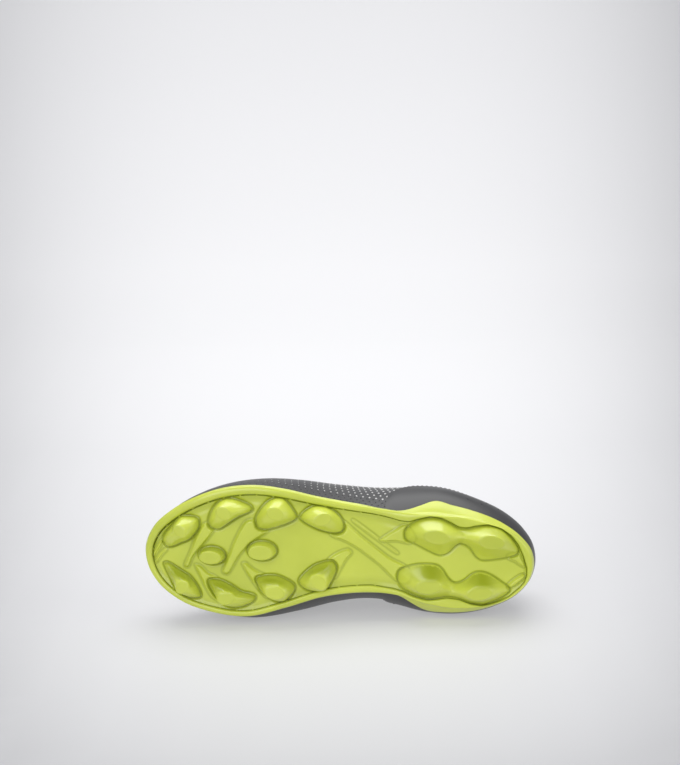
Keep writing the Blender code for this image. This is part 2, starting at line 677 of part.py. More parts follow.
def lace_strip(start, end, layer, name):
    """A flat lace over the tongue, from one eyelet's column to another on the far side."""
    lift = LACE_THICKNESS * 0.15 * layer
    tuck = (EYELET_LINE - LACE_START) * (1 + 0.2 * layer)
    ease = (COLUMNS - start - end) * 0.15
    stops = (
        (start, EYELET_LINE - tuck),
        (start, EYELET_LINE),
        (start + ease, 1.0),
        (end + ease, 1.0),
        (end, EYELET_LINE),
        (end, EYELET_LINE - tuck),
    )
    ground = GAP + EYESTAY_WALL + GAP + lift
    low, high = [], []
    for place, up in stops:
        for rail, height in ((low, ground), (high, ground + LACE_THICKNESS)):
            rail.append(between_columns(surface(np.array([up]), height)[:, 0], [place])[0])
    for rail in (low, high):
        near, far = rail[2], rail[3]
        arch = [
            near + (far - near) * part + (0, 0, LACE_ARCH * 4 * part * (1 - part))
            for part in (0.3, 0.7)
        ]
        rail[3:3] = arch
    low, high = np.array(low), np.array(high)
    way = np.gradient(low, axis=0)
    side = np.cross(high - low, way)
    side *= LACE_WIDTH / 2 / np.linalg.norm(side, axis=1)[:, None]
    bm = bmesh.new()
    rings = [
        ring(bm, (h + s, h - s, b - s, b + s)) for h, b, s in zip(high, low, side)
    ]
    for first, second in zip(rings, rings[1:]):
        skin(bm, first, second)
    bm.faces.new(rings[0])
    bm.faces.new(rings[-1])
    return finish(bm, name)


def lace(colour):
    """The lace's crossings over the tongue, joined over the eyelets."""
    spots = np.linspace(THROAT_START + 0.012, TONGUE_FRONT - 0.03, LACE_ROWS) * COLUMNS
    first = lace_strip(spots[-1], COLUMNS - spots[-1], 0, "lace")
    first.data.materials.append(colour)
    for i, (high, low) in enumerate(zip(spots, spots[1:])):
        for j, (start, end) in enumerate(((low, COLUMNS - high), (high, COLUMNS - low))):
            strip = helper(lace_strip(start, end, 1 + j, f"crossing_{i}_{j}"))
            join = first.modifiers.new(strip.name, "BOOLEAN")
            join.operation = "UNION"
            join.solver = "MANIFOLD"
            join.object = strip
    return first


def lay_on_side():
    """Turns the shoe on to its medial side, with the floor at z = 0 under its middle."""
    down = Vector(FLOOR_DOWN)
    toe = Vector((1, 0, 0))
    toe = (toe - down * toe.dot(down)).normalized()
    turn = Matrix((-toe, down.cross(toe), -down)).to_4x4()
    rest = bpy.data.objects.new("shoe_at_rest", None)
    bpy.context.scene.collection.objects.link(rest)
    bpy.context.view_layer.update()
    graph = bpy.context.evaluated_depsgraph_get()
    spots = []
    for shape in [found for found in bpy.data.objects if found.type == "MESH"]:
        if not shape.hide_render:
            spots += [turn @ vertex.co for vertex in shape.evaluated_get(graph).data.vertices]
        shape.parent = rest
    middle = [(min(p[k] for p in spots) + max(p[k] for p in spots)) / 2 for k in (0, 1)]
    rest.matrix_world = Matrix.Translation((-middle[0], -middle[1], FLOOR_REACH)) @ turn


def main():
    for shape in list(bpy.data.objects):
        bpy.data.objects.remove(shape)
    lime = material("moulded_lime", (0.58, 0.68, 0.11), 0.30)
    charcoal = material("charcoal_upper", (0.055, 0.055, 0.055), 0.62)
    panel = material("dark_panel", (0.09, 0.09, 0.088), 0.48)
    lining = material("lining", (0.04, 0.04, 0.042), 0.85)
    cord = material("lace_weave", (0.06, 0.06, 0.06), 0.80)
    outsole(lime)
    upper(charcoal)
    insole(lining)
    tongue(charcoal)
    heel_counter(panel)
    eyestay(panel)
    lace(cord)
    lay_on_side()


main()
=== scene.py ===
"""Looks of a left soccer cleat lying on its medial side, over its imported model."""

import math

import bpy
import numpy as np
from mathutils import Matrix, Vector


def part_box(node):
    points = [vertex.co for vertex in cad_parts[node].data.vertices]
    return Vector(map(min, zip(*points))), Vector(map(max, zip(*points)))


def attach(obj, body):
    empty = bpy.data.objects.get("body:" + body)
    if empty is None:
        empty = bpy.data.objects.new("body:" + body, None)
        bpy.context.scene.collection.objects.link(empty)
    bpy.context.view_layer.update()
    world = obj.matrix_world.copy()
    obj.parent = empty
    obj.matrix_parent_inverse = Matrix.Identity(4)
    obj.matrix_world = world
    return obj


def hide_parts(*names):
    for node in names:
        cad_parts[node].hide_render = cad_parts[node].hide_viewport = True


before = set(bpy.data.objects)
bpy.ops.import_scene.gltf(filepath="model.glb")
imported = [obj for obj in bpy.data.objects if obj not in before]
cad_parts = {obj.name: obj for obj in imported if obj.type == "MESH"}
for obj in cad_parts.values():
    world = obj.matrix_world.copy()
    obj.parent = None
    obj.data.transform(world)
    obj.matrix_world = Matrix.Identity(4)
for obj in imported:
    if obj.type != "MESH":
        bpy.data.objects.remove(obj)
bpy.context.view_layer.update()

# Driving dimensions, in metres
LENGTH = 0.284            # outsole, heel to toe
BALL_WIDTH = 0.0965       # outsole across the ball
HEEL_HEIGHT = 0.064       # collar above the plate, at the back of the heel
INSTEP_HEIGHT = 0.080     # top of the throat above the plate
TOE_SPRING = 0.013        # rise of the toe tip
ARCH_RISE = 0.005         # rise of the shank
STUD_HEIGHT = 0.012       # plate underside to stud tip
PLATE = 0.0020            # plate thickness
RIM_WALL = 0.0018         # lip of the plate that hugs the upper
RIM_DROP = 0.0014         # rim bead below the plate underside
RIM_BAND = 0.0070         # widest rim bead
WING_HEIGHT = 0.0090      # heel wings above the plate top
UPPER_WALL = 0.0024
INSOLE = 0.0032
TONGUE = 0.0030
COUNTER_WALL = 0.0012
EYESTAY_WALL = 0.0010
LACE_WIDTH = 0.0060
LACE_THICKNESS = 0.0014
LACE_ARCH = 0.0016        # rise of a crossing over the throat's edges
TONGUE_CROWN = 0.0040     # arch of the tongue over the instep
TONGUE_DIP = 0.0014       # sink of the tongue before it goes under the vamp
TONGUE_REACH = 0.032      # tongue past the throat's top
TONGUE_RISE = 0.0040      # upward curl of its free end
LACE_ROWS = 5             # pairs of eyelets
GAP = 0.0003              # clearance between pieces
HUG = 0.0006              # clearance of the sole's lip and the counter round the curved upper

# Plan of the sole's lower corner, from the heel round the lateral side and the toe.
# Columns: along as a share of LENGTH, across as a share of BALL_WIDTH
OUTLINE = (
    (0.013, 0.000), (0.022, 0.110), (0.050, 0.205), (0.100, 0.290), (0.180, 0.350),
    (0.265, 0.372), (0.350, 0.380), (0.450, 0.415), (0.560, 0.470), (0.650, 0.527),
    (0.725, 0.548), (0.800, 0.520), (0.870, 0.443), (0.935, 0.322), (0.981, 0.180),
    (1.000, 0.030), (0.993, -0.110), (0.965, -0.240), (0.914, -0.350), (0.828, -0.430),
    (0.733, -0.450), (0.642, -0.378), (0.542, -0.290), (0.450, -0.255), (0.360, -0.262),
    (0.280, -0.318), (0.200, -0.343), (0.110, -0.303), (0.050, -0.215), (0.022, -0.115),
)

# Side view of the plate's underside.
# Columns: along, then the shares of TOE_SPRING and ARCH_RISE that lift it
SOLE_LINE = (
    (0.00, 0.10, 0.00), (0.10, 0.00, 0.00), (0.27, 0.00, 0.00), (0.40, 0.00, 1.00), (0.52, 0.00, 0.70),
    (0.64, 0.00, 0.00), (0.76, 0.04, 0.00), (0.88, 0.36, 0.00), (1.00, 1.00, 0.00),
)

# Rim of the sole. Columns: round the outline (0 heel, 0.5 toe), top as a share of WING_HEIGHT,
# bead as a share of RIM_BAND
RIM = (
    (0.000, 0.34, 0.66), (0.030, 0.30, 0.64), (0.060, 0.46, 0.62), (0.095, 0.68, 0.58),
    (0.120, 0.82, 0.54), (0.139, 1.00, 0.52), (0.153, 0.62, 0.58), (0.170, 0.20, 0.66),
    (0.230, 0.13, 0.80), (0.350, 0.13, 1.00), (0.430, 0.13, 1.00), (0.500, 0.20, 0.86),
    (0.570, 0.13, 0.70), (0.650, 0.13, 0.70), (0.770, 0.13, 0.86), (0.830, 0.20, 0.80),
    (0.847, 0.62, 0.62), (0.861, 1.00, 0.52), (0.880, 0.82, 0.54), (0.905, 0.68, 0.58),
    (0.940, 0.46, 0.62), (0.970, 0.30, 0.64),
)

# The upper's meridians, each a Bezier arc from the sole's edge to the collar or throat edge.
# Columns: round; edge point along and across; its height as shares of HEEL_HEIGHT and of
# INSTEP_HEIGHT; lower handle out (of BALL_WIDTH) and up (of the rise); upper handle out and down
UPPER = (
    (0.000, 0.034, 0.000, 1.00, 0.000, 0.125, 0.36, 0.010, 0.30),
    (0.050, 0.074, 0.192, 0.97, 0.000, 0.160, 0.36, 0.040, 0.32),
    (0.095, 0.145, 0.300, 0.89, 0.000, 0.210, 0.36, 0.085, 0.34),
    (0.140, 0.230, 0.364, 0.84, 0.030, 0.234, 0.36, 0.140, 0.34),
    (0.180, 0.305, 0.316, 0.55, 0.420, 0.220, 0.38, 0.185, 0.26),
    (0.212, 0.362, 0.214, 0.00, 1.000, 0.189, 0.40, 0.230, 0.16),
    (0.260, 0.425, 0.157, 0.00, 0.965, 0.165, 0.42, 0.275, 0.10),
    (0.310, 0.495, 0.128, 0.00, 0.895, 0.150, 0.42, 0.298, 0.09),
    (0.360, 0.560, 0.113, 0.00, 0.815, 0.128, 0.42, 0.318, 0.09),
    (0.410, 0.610, 0.095, 0.00, 0.755, 0.118, 0.42, 0.358, 0.11),
    (0.455, 0.638, 0.064, 0.00, 0.715, 0.105, 0.44, 0.400, 0.15),
    (0.500, 0.646, 0.000, 0.00, 0.700, 0.065, 0.44, 0.420, 0.18),
    (0.545, 0.638, -0.056, 0.00, 0.715, 0.094, 0.44, 0.403, 0.15),
    (0.590, 0.610, -0.088, 0.00, 0.755, 0.160, 0.42, 0.352, 0.11),
    (0.640, 0.560, -0.106, 0.00, 0.815, 0.225, 0.42, 0.303, 0.09),
    (0.690, 0.495, -0.122, 0.00, 0.895, 0.278, 0.44, 0.275, 0.09),
    (0.740, 0.425, -0.148, 0.00, 0.965, 0.300, 0.46, 0.237, 0.10),
    (0.788, 0.362, -0.190, 0.00, 1.000, 0.290, 0.46, 0.188, 0.16),
    (0.820, 0.305, -0.265, 0.55, 0.420, 0.260, 0.42, 0.136, 0.26),
    (0.860, 0.230, -0.310, 0.84, 0.030, 0.222, 0.38, 0.083, 0.34),
    (0.905, 0.145, -0.280, 0.89, 0.000, 0.190, 0.36, 0.048, 0.34),
    (0.950, 0.074, -0.185, 0.97, 0.000, 0.155, 0.36, 0.028, 0.32),
)
UPPER_ROWS = (0.0, 0.10, 0.21, 0.33, 0.46, 0.59, 0.71, 0.82, 0.91, 1.0)

# Top edge of the heel counter. Columns: round, share of the way up the upper
COUNTER = (
    (-0.195, 0.20), (-0.175, 0.42), (-0.150, 0.54), (-0.110, 0.64), (-0.060, 0.71), (0.000, 0.74),
    (0.060, 0.71), (0.110, 0.64), (0.150, 0.54), (0.175, 0.42), (0.195, 0.20),
)
THROAT_START = 0.212      # round share of the throat's top, on the lateral side
TONGUE_FRONT = 0.444      # round share where the tongue goes under the vamp
EYESTAY_START = 0.86      # lower edge of the eyestay, up the upper
EYELET_LINE = 0.93        # eyelets, up the upper

# Floor that the shoe lies on, in the shoe's own frame: the way down, and how far down it is
DOWN = np.array((-0.04786, -0.99577, 0.07837))
REACH = 0.041247
CAD_SIDE_COLUMNS = 36


def smooth(rows, at, period=None):
    """Values of a table at the given keys, on smooth arcs through its rows."""
    rows = np.array(rows, float)
    if period:
        before, after = rows[-2:].copy(), rows[:2].copy()
        before[:, 0] -= period
        after[:, 0] += period
        rows = np.concatenate([before, rows, after])
    keys, values = rows[:, 0], rows[:, 1:]
    slopes = np.gradient(values, keys, axis=0)
    at = np.clip(np.asarray(at, float), keys[0], keys[-1])
    low = np.clip(np.searchsorted(keys, at, side="right") - 1, 0, len(keys) - 2)
    span = (keys[low + 1] - keys[low])[..., None]
    part = (at[..., None] - keys[low][..., None]) / span
    near = (1 + 2 * part) * (1 - part) ** 2
    return (
        near * values[low]
        + (1 - near) * values[low + 1]
        + part * (1 - part) ** 2 * span * slopes[low]
        - part**2 * (1 - part) * span * slopes[low + 1]
    )


def run_along(line):
    """Running length at each point of a line."""
    return np.concatenate([[0], np.cumsum(np.linalg.norm(np.diff(line, axis=0), axis=1))])


def on_line(at, keys, line):
    """Points of a line at the given keys, straight between its own."""
    return np.column_stack([np.interp(at, keys, line[:, k]) for k in range(line.shape[1])])


def spread(line, count):
    """A number of points spread along a line's own."""
    return on_line(np.linspace(0, len(line) - 1, count), np.arange(len(line)), line)


def turns_of(count):
    """Angles all round a ring."""
    return np.linspace(0, 2 * math.pi, count + 1)[:-1]


def unit(vectors):
    return vectors / np.linalg.norm(vectors, axis=-1)[..., None]


def outline_columns(side_columns):
    """Points of the sole's plan, evenly spaced round each side, and their outward normals."""
    corners = np.array(OUTLINE) * (LENGTH, BALL_WIDTH)
    steps = np.linalg.norm(np.roll(corners, -1, 0) - corners, axis=1)
    keys = np.concatenate([[0], np.cumsum(steps)[:-1]])
    fine = smooth(np.column_stack([keys, corners]), np.linspace(0, steps.sum(), 1441)[:-1], steps.sum())
    fine = np.roll(fine, -int(np.argmin(fine[:, 0])), 0)
    toe = int(np.argmax(fine[:, 0]))
    sides = []
    for side in (fine[: toe + 1], np.concatenate([fine[toe:], fine[:1]])):
        run = run_along(side)
        sides.append(on_line(np.linspace(0, run[-1], side_columns + 1)[:-1], run, side))
    plan = np.concatenate(sides)
    way = np.roll(plan, -1, 0) - np.roll(plan, 1, 0)
    return plan, unit(np.column_stack([-way[:, 1], way[:, 0]]))


def underside(x):
    """Height of the plate's underside at x."""
    lift = smooth(SOLE_LINE, np.asarray(x, float) / LENGTH)
    return STUD_HEIGHT + lift[..., 0] * TOE_SPRING + lift[..., 1] * ARCH_RISE


def on_height(plan, height):
    """Plan points set at a height, which is a number, an array or a function of x."""
    z = height(plan[..., 0]) if callable(height) else np.broadcast_to(height, plan.shape[:-1])
    return np.concatenate([plan, np.asarray(z)[..., None]], axis=-1)


def plate_top(x):
    return underside(x) + PLATE


def seat_top(x):
    return plate_top(x) + GAP


def insole_top(x):
    return seat_top(x) + INSOLE


class Shell:
    """The upper's outer face, on a given number of columns round the sole."""

    def __init__(self, side_columns):
        self.side = side_columns
        self.columns = 2 * side_columns
        self.round = np.arange(self.columns) / self.columns
        self.plan, self.outward = outline_columns(side_columns)
        table = smooth(UPPER, self.round, 1.0)
        foot = on_height(self.plan - self.outward * (RIM_WALL + HUG), seat_top)
        edge = table[:, :2] * (LENGTH, BALL_WIDTH)
        height = plate_top(edge[:, 0]) + table[:, 2] * HEEL_HEIGHT + table[:, 3] * INSTEP_HEIGHT
        edge = on_height(edge, height)
        rise = edge[:, 2] - foot[:, 2]
        low = foot.copy()
        low[:, :2] += self.outward * (table[:, 4] * BALL_WIDTH)[:, None]
        low[:, 2] += table[:, 5] * rise
        high = edge.copy()
        high[:, :2] += self.outward * (table[:, 6] * BALL_WIDTH)[:, None]
        high[:, 2] -= table[:, 7] * rise
        self.handles = foot, low, high, edge

    def surface(self, up, lift=0.0):
        """Points for an array of shares (column, row), lifted off the face and flat on the floor."""
        foot, low, high, edge = (handle[:, None, :] for handle in self.handles)
        up = np.broadcast_to(up, (self.columns, np.shape(up)[-1]))[..., None]
        points = (
            (1 - up) ** 3 * foot + 3 * (1 - up) ** 2 * up * low + 3 * (1 - up) * up**2 * high + up**3 * edge
        )
        climb = (1 - up) ** 2 * (low - foot) + 2 * (1 - up) * up * (high - low) + up**2 * (edge - high)
        along = np.roll(points, -1, 0) - np.roll(points, 1, 0)
        normal = unit(np.cross(climb, along))
        lift = np.broadcast_to(lift, points.shape[:2])[..., None]
        points = points + normal * lift
        past = (points @ DOWN)[..., None] - (REACH + np.minimum(lift, 0))
        return points - np.maximum(past, 0) * DOWN

    def share_at_height(self, height):
        shares = np.linspace(0, 1, 101)
        heights = self.surface(shares)[..., 2]
        wanted = heights[:, 0] + height
        return np.array([np.interp(z, row, shares) for z, row in zip(wanted, heights)])

    def at(self, place, up, lift=0.0):
        """One point at a round share and a share up."""
        column = (place % 1.0) * self.columns
        near, part = int(column), column - int(column)
        ring = self.surface(np.array([up]), lift)[:, 0]
        return ring[near % self.columns] * (1 - part) + ring[(near + 1) % self.columns] * part


# The row frame: the shoe on its side
toe_way = unit(np.array((1.0, 0.0, 0.0)) - DOWN * DOWN[0])
TURN = np.array((-toe_way, np.cross(DOWN, toe_way), -DOWN))
coarse = Shell(CAD_SIDE_COLUMNS)
walls = [coarse.surface(np.array(UPPER_ROWS), lift) for lift in (0.0, -UPPER_WALL)]
corners = np.concatenate(walls).reshape(-1, 3)
SHIFT = np.array(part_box("upper")[0]) - (corners @ TURN.T).min(axis=0)


# Materials

class Tree:
    """The shader tree of one material."""

    def __init__(self, name):
        self.material = bpy.data.materials.new(name)
        self.material.use_nodes = True
        self.nodes = self.material.node_tree.nodes

    def link(self, source, socket):
        self.material.node_tree.links.new(source, socket)

    def add(self, kind, output, sources=None, **values):
        """A node with its values and the sockets that feed it. Gives back one output."""
        made = self.nodes.new("ShaderNode" + kind)
        for key, value in values.items():
            if hasattr(made, key):
                setattr(made, key, value)
            else:
                made.inputs[key.replace("_", " ")].default_value = value
        for socket, source in (sources or {}).items():
            self.link(source, made.inputs[socket])
        return made.outputs[output]

    def mark(self, name, output="Fac"):
        """A mark that the mesh carries."""
        return self.add("Attribute", output, attribute_name=name)

    def noise(self, scale, detail):
        place = {"Vector": self.mark("shoe", "Vector")}
        return self.add("TexNoise", "Fac", place, Scale=scale, Detail=detail)

    def ramp(self, source, *stops):
        """Two colours over a source, at their places."""
        made = self.nodes.new("ShaderNodeValToRGB")
        for element, (place, colour) in zip(made.color_ramp.elements, stops):
            element.position = place
            element.color = (*colour, 1)
        self.link(source, made.inputs["Fac"])
        return made.outputs["Color"]

    def math(self, operation, first, second):
        """One sum of a socket and a socket or number."""
        made = self.nodes.new("ShaderNodeMath")
        made.operation = operation
        self.link(first, made.inputs[0])
        if isinstance(second, float):
            made.inputs[1].default_value = second
        else:
            self.link(second, made.inputs[1])
        return made.outputs["Value"]

    def bump(self, height, strength, distance, before=None):
        sources = {"Height": height, "Normal": before} if before else {"Height": height}
        return self.add("Bump", "Normal", sources, Strength=strength, Distance=distance)

    def finish(self, **values):
        """Feeds the shader: sockets are linked and constants set."""
        for key, value in values.items():
            socket = self.nodes["Principled BSDF"].inputs[key.replace("_", " ")]
            if isinstance(value, bpy.types.NodeSocket):
                self.link(value, socket)
            else:
                socket.default_value = value
        return self.material


def moulded(name, colour, dark, deep, roughness, coat):
    """Glossy moulded plastic with faint flow marks, fine haze, and painted shade: a deeper colour where the
    mesh is marked, in grooves and recesses and on some stud sides.
    """
    tree = Tree(name)
    flow = tree.noise(22.0, 3.0)
    # Painted shade: the mesh's mark mixes in the deep colour where shade falls
    sources = {"Factor": tree.mark("groove_and_painted_shade"), "A": tree.ramp(flow, (0.3, dark), (0.65, colour))}
    ends = {"To_Min": roughness - 0.05, "To_Max": roughness + 0.07}
    return tree.finish(
        Base_Color=tree.add("Mix", "Result", sources, data_type="RGBA", B=(*deep, 1)),
        Roughness=tree.add("MapRange", "Result", {"Value": flow}, **ends),
        Normal=tree.bump(tree.noise(900.0, 2.0), 0.06, 0.0003),
        Coat_Weight=coat,
        Coat_Roughness=0.12,
        Subsurface_Weight=0.12,
        Subsurface_Radius=(0.6, 0.7, 0.1),
        Subsurface_Scale=0.003,
    )


def chevrons(tree):
    """Height of a zigzag knit where the mesh is marked for it."""
    cloth = tree.add("UVMap", "UV", uv_map="cloth")
    along = tree.add("SeparateXYZ", "X", {"Vector": cloth})
    zigzag = tree.math("PINGPONG", along.node.outputs["Y"], CHEVRON_HEIGHT)
    wave = tree.math("PINGPONG", tree.math("ADD", along, zigzag), CHEVRON_PITCH)
    rise = tree.add("MapRange", "Result", {"Value": wave}, From_Max=CHEVRON_PITCH)
    return tree.math("MULTIPLY", rise, tree.mark("chevron"))


def grained(name, colour, light, scale, depth, roughness, sheen, knit=None):
    """Pebbled coated skin: rounded cells with finer grain, and a zigzag knit if that has a colour."""
    tree = Tree(name)
    sources = {"Vector": tree.mark("shoe", "Vector")}
    cells = tree.add("TexVoronoi", "Distance", sources, Scale=scale, feature="SMOOTH_F1")
    sources = {
        "A": tree.ramp(cells, (0.1, light), (0.75, colour)),
        "B": tree.ramp(tree.noise(14.0, 2.0), (0.3, colour), (0.7, light)),
    }
    base = tree.add("Mix", "Result", sources, data_type="RGBA", Factor=0.35)
    normal = tree.bump(tree.noise(scale * 2.6, 4.0), 0.25, depth * 0.5, tree.bump(cells, -0.5, depth))
    if knit:
        rise = chevrons(tree)
        base = tree.add("Mix", "Result", {"Factor": rise, "A": base}, data_type="RGBA", B=(*knit, 1))
        normal = tree.bump(rise, 0.9, 0.0004, normal)
    return tree.finish(
        Base_Color=base, Normal=normal, Roughness=roughness, Sheen_Weight=sheen, Sheen_Roughness=0.4
    )


def woven(name, colour, light, threads, depth, roughness):
    """Woven or knitted fabric from two crossed waves along the piece's own UV, in metres."""
    tree = Tree(name)
    cloth = tree.add("UVMap", "UV", uv_map="cloth")
    waves = []
    for degrees in (45, 135):
        turn = (0, 0, math.radians(degrees))
        turned = tree.add("Mapping", "Vector", {"Vector": cloth}, Rotation=turn, Scale=(threads,) * 3)
        waves.append(tree.add("TexWave", "Fac", {"Vector": turned}, Scale=1.0, Distortion=0.6))
    both = tree.math("MULTIPLY", *waves)
    return tree.finish(
        Base_Color=tree.ramp(both, (0.05, colour), (0.8, light)),
        Normal=tree.bump(tree.noise(1800.0, 3.0), 0.3, depth * 0.6, tree.bump(both, 0.8, depth)),
        Roughness=roughness,
        Sheen_Weight=0.25,
    )


def plain(name, colour, roughness, metallic=0.0):
    """One colour with fine grain."""
    tree = Tree(name)
    grain = tree.noise(1200.0, 3.0)
    return tree.finish(
        Base_Color=tree.ramp(grain, (0.35, tuple(c * 0.82 for c in colour)), (0.65, colour)),
        Normal=tree.bump(grain, 0.12, 0.0002),
        Roughness=roughness,
        Metallic=metallic,
    )


CHEVRON_HEIGHT = 0.0042  # half a zigzag, up the upper
CHEVRON_PITCH = 0.0011   # half the step from one zigzag to the next
# The third colour is the deep lime of the painted shade, mixed in by the mesh's mark
LIME = moulded("glossy_lime", (0.60, 0.67, 0.078), (0.53, 0.60, 0.062), (0.27, 0.33, 0.004), 0.30, 0.35)
# The charcoal skin is lighter at each pebble's middle and in soft random patches
CHARCOAL, PALE_CHARCOAL = (0.016, 0.016, 0.0165), (0.062, 0.062, 0.062)
SKIN = grained("charcoal_skin", CHARCOAL, PALE_CHARCOAL, 900.0, 0.00040, 0.46, 0.10, (0.21, 0.21, 0.20))
PANEL = grained("quarter_panel", (0.030,) * 3, (0.041,) * 3, 2600.0, 0.00008, 0.40, 0.05)
KNIT = woven("lining_knit", (0.030, 0.030, 0.032), (0.062, 0.062, 0.066), 700.0, 0.0002, 0.88)
LACE = woven("lace_weave", (0.035, 0.035, 0.036), (0.085, 0.085, 0.088), 1100.0, 0.00025, 0.8)
SOCK = woven("sockliner", (0.045, 0.045, 0.048), (0.085, 0.085, 0.09), 520.0, 0.00015, 0.85)
THREAD = plain("thread", (0.11, 0.11, 0.112), 0.7)
# Near-black: painted shade inside the punched holes, pinholes and eyelet holes
HOLE_SHADE = plain("painted_hole_shade", (0.006, 0.006, 0.006), 0.7)
SILVER = plain("silver_dot", (0.62, 0.62, 0.60), 0.35, 0.2)
PIPING = plain("lime_piping", (0.48, 0.56, 0.07), 0.45)


# Meshes

def to_row(points):
    return points @ TURN.T + SHIFT


def mark_points(mesh, name, values):
    """A number for each point of a mesh."""
    mesh.attributes.new(name, "FLOAT", "POINT").data.foreach_set("value", np.asarray(values, np.float32))


def put(name, data):
    """An object in the scene."""
    made = bpy.data.objects.new(name, data)
    bpy.context.scene.collection.objects.link(made)
    return made


def piece(name, points, faces, materials, replaced=(), uv=None, which=None, sharp=None, marks=None):
    """A mesh of the shoe: points in the shoe's own frame, faces as index tuples."""
    mesh = bpy.data.meshes.new(name)
    points = np.asarray(points, float).reshape(-1, 3)
    mesh.from_pydata(to_row(points).tolist(), [], faces)
    mesh.shade_smooth()
    if sharp:
        mesh.set_sharp_from_angle(angle=math.radians(sharp))
    shoe = mesh.attributes.new("shoe", "FLOAT_VECTOR", "POINT")
    shoe.data.foreach_set("vector", points.astype(np.float32).ravel())
    for mark, values in (marks or {}).items():
        mark_points(mesh, mark, values)
    if uv is not None:
        layer = mesh.uv_layers.new(name="cloth")
        loops = np.empty(len(mesh.loops), np.int32)
        mesh.loops.foreach_get("vertex_index", loops)
        layer.data.foreach_set("uv", np.asarray(uv, np.float32).reshape(-1, 2)[loops].ravel())
    for material in materials:
        mesh.materials.append(material)
    if which is not None:
        mesh.polygons.foreach_set("material_index", np.asarray(which, np.int32))
    made = put(name, mesh)
    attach(made, "root")
    if replaced:
        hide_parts(*replaced)
    return made


def grid_faces(rows, columns, closed_rows=False, closed_columns=False, start=0, flip=False):
    """Quads of a grid whose points run row by row."""
    a = np.arange(rows if closed_rows else rows - 1)[:, None]
    b = np.arange(columns if closed_columns else columns - 1)[None, :]
    a2, b2 = (a + 1) % rows, (b + 1) % columns
    quads = np.stack([a * columns + b, a * columns + b2, a2 * columns + b2, a2 * columns + b], axis=-1)
    quads = quads.reshape(-1, 4) + start
    return [tuple(q) for q in (quads[:, ::-1] if flip else quads).tolist()]


def smooth_loop(corners, parts=8):
    """A closed smooth line through corner points."""
    corners = np.asarray(corners, float)
    keys = np.arange(len(corners), dtype=float)
    at = np.arange(len(corners) * parts) / parts
    return smooth(np.column_stack([keys, corners]), at, float(len(corners)))


def gap_to(all_points, loop):
    """Signed distance of plan points to a closed line, negative inside; 99 where the line is far."""
    near = ((all_points > loop.min(0) - 8) & (all_points < loop.max(0) + 8)).all(axis=1)
    found = np.full(len(all_points), 99.0)
    points = all_points[near]
    best = np.full(len(points), np.inf)
    inside = np.zeros(len(points), bool)
    for a, b in zip(loop, np.roll(loop, -1, 0)):
        way = b - a
        t = np.clip(((points - a) @ way) / max(way @ way, 1e-18), 0, 1)
        best = np.minimum(best, np.linalg.norm(points - a - t[:, None] * way, axis=1))
        cross = (a[1] > points[:, 1]) != (b[1] > points[:, 1])
        if cross.any():
            x = a[0] + (points[:, 1] - a[1]) / (b[1] - a[1] + 1e-18) * (b[0] - a[0])
            inside ^= cross & (points[:, 0] < x)
    found[near] = np.where(inside, -best, best)
    return found


def ray_reach(starts, ways, line):
    """How far rays run from their starts before they meet an open line."""
    reach = np.full(len(starts), np.inf)
    for a, b in zip(line, line[1:]):
        edge, offset = b - a, a - starts
        cross = ways[:, 0] * edge[1] - ways[:, 1] * edge[0]
        along = (offset[:, 0] * edge[1] - offset[:, 1] * edge[0]) / cross
        share = (offset[:, 0] * ways[:, 1] - offset[:, 1] * ways[:, 0]) / cross
        met = (share >= 0) & (share <= 1) & (along > 0)
        reach = np.where(met, np.minimum(reach, along), reach)
    return reach


# The sole's moulding, in millimetres from the heel and towards the lateral side.
# Shift of a full stud's tip over its foot, towards the lateral side
PARALLAX = 2.7
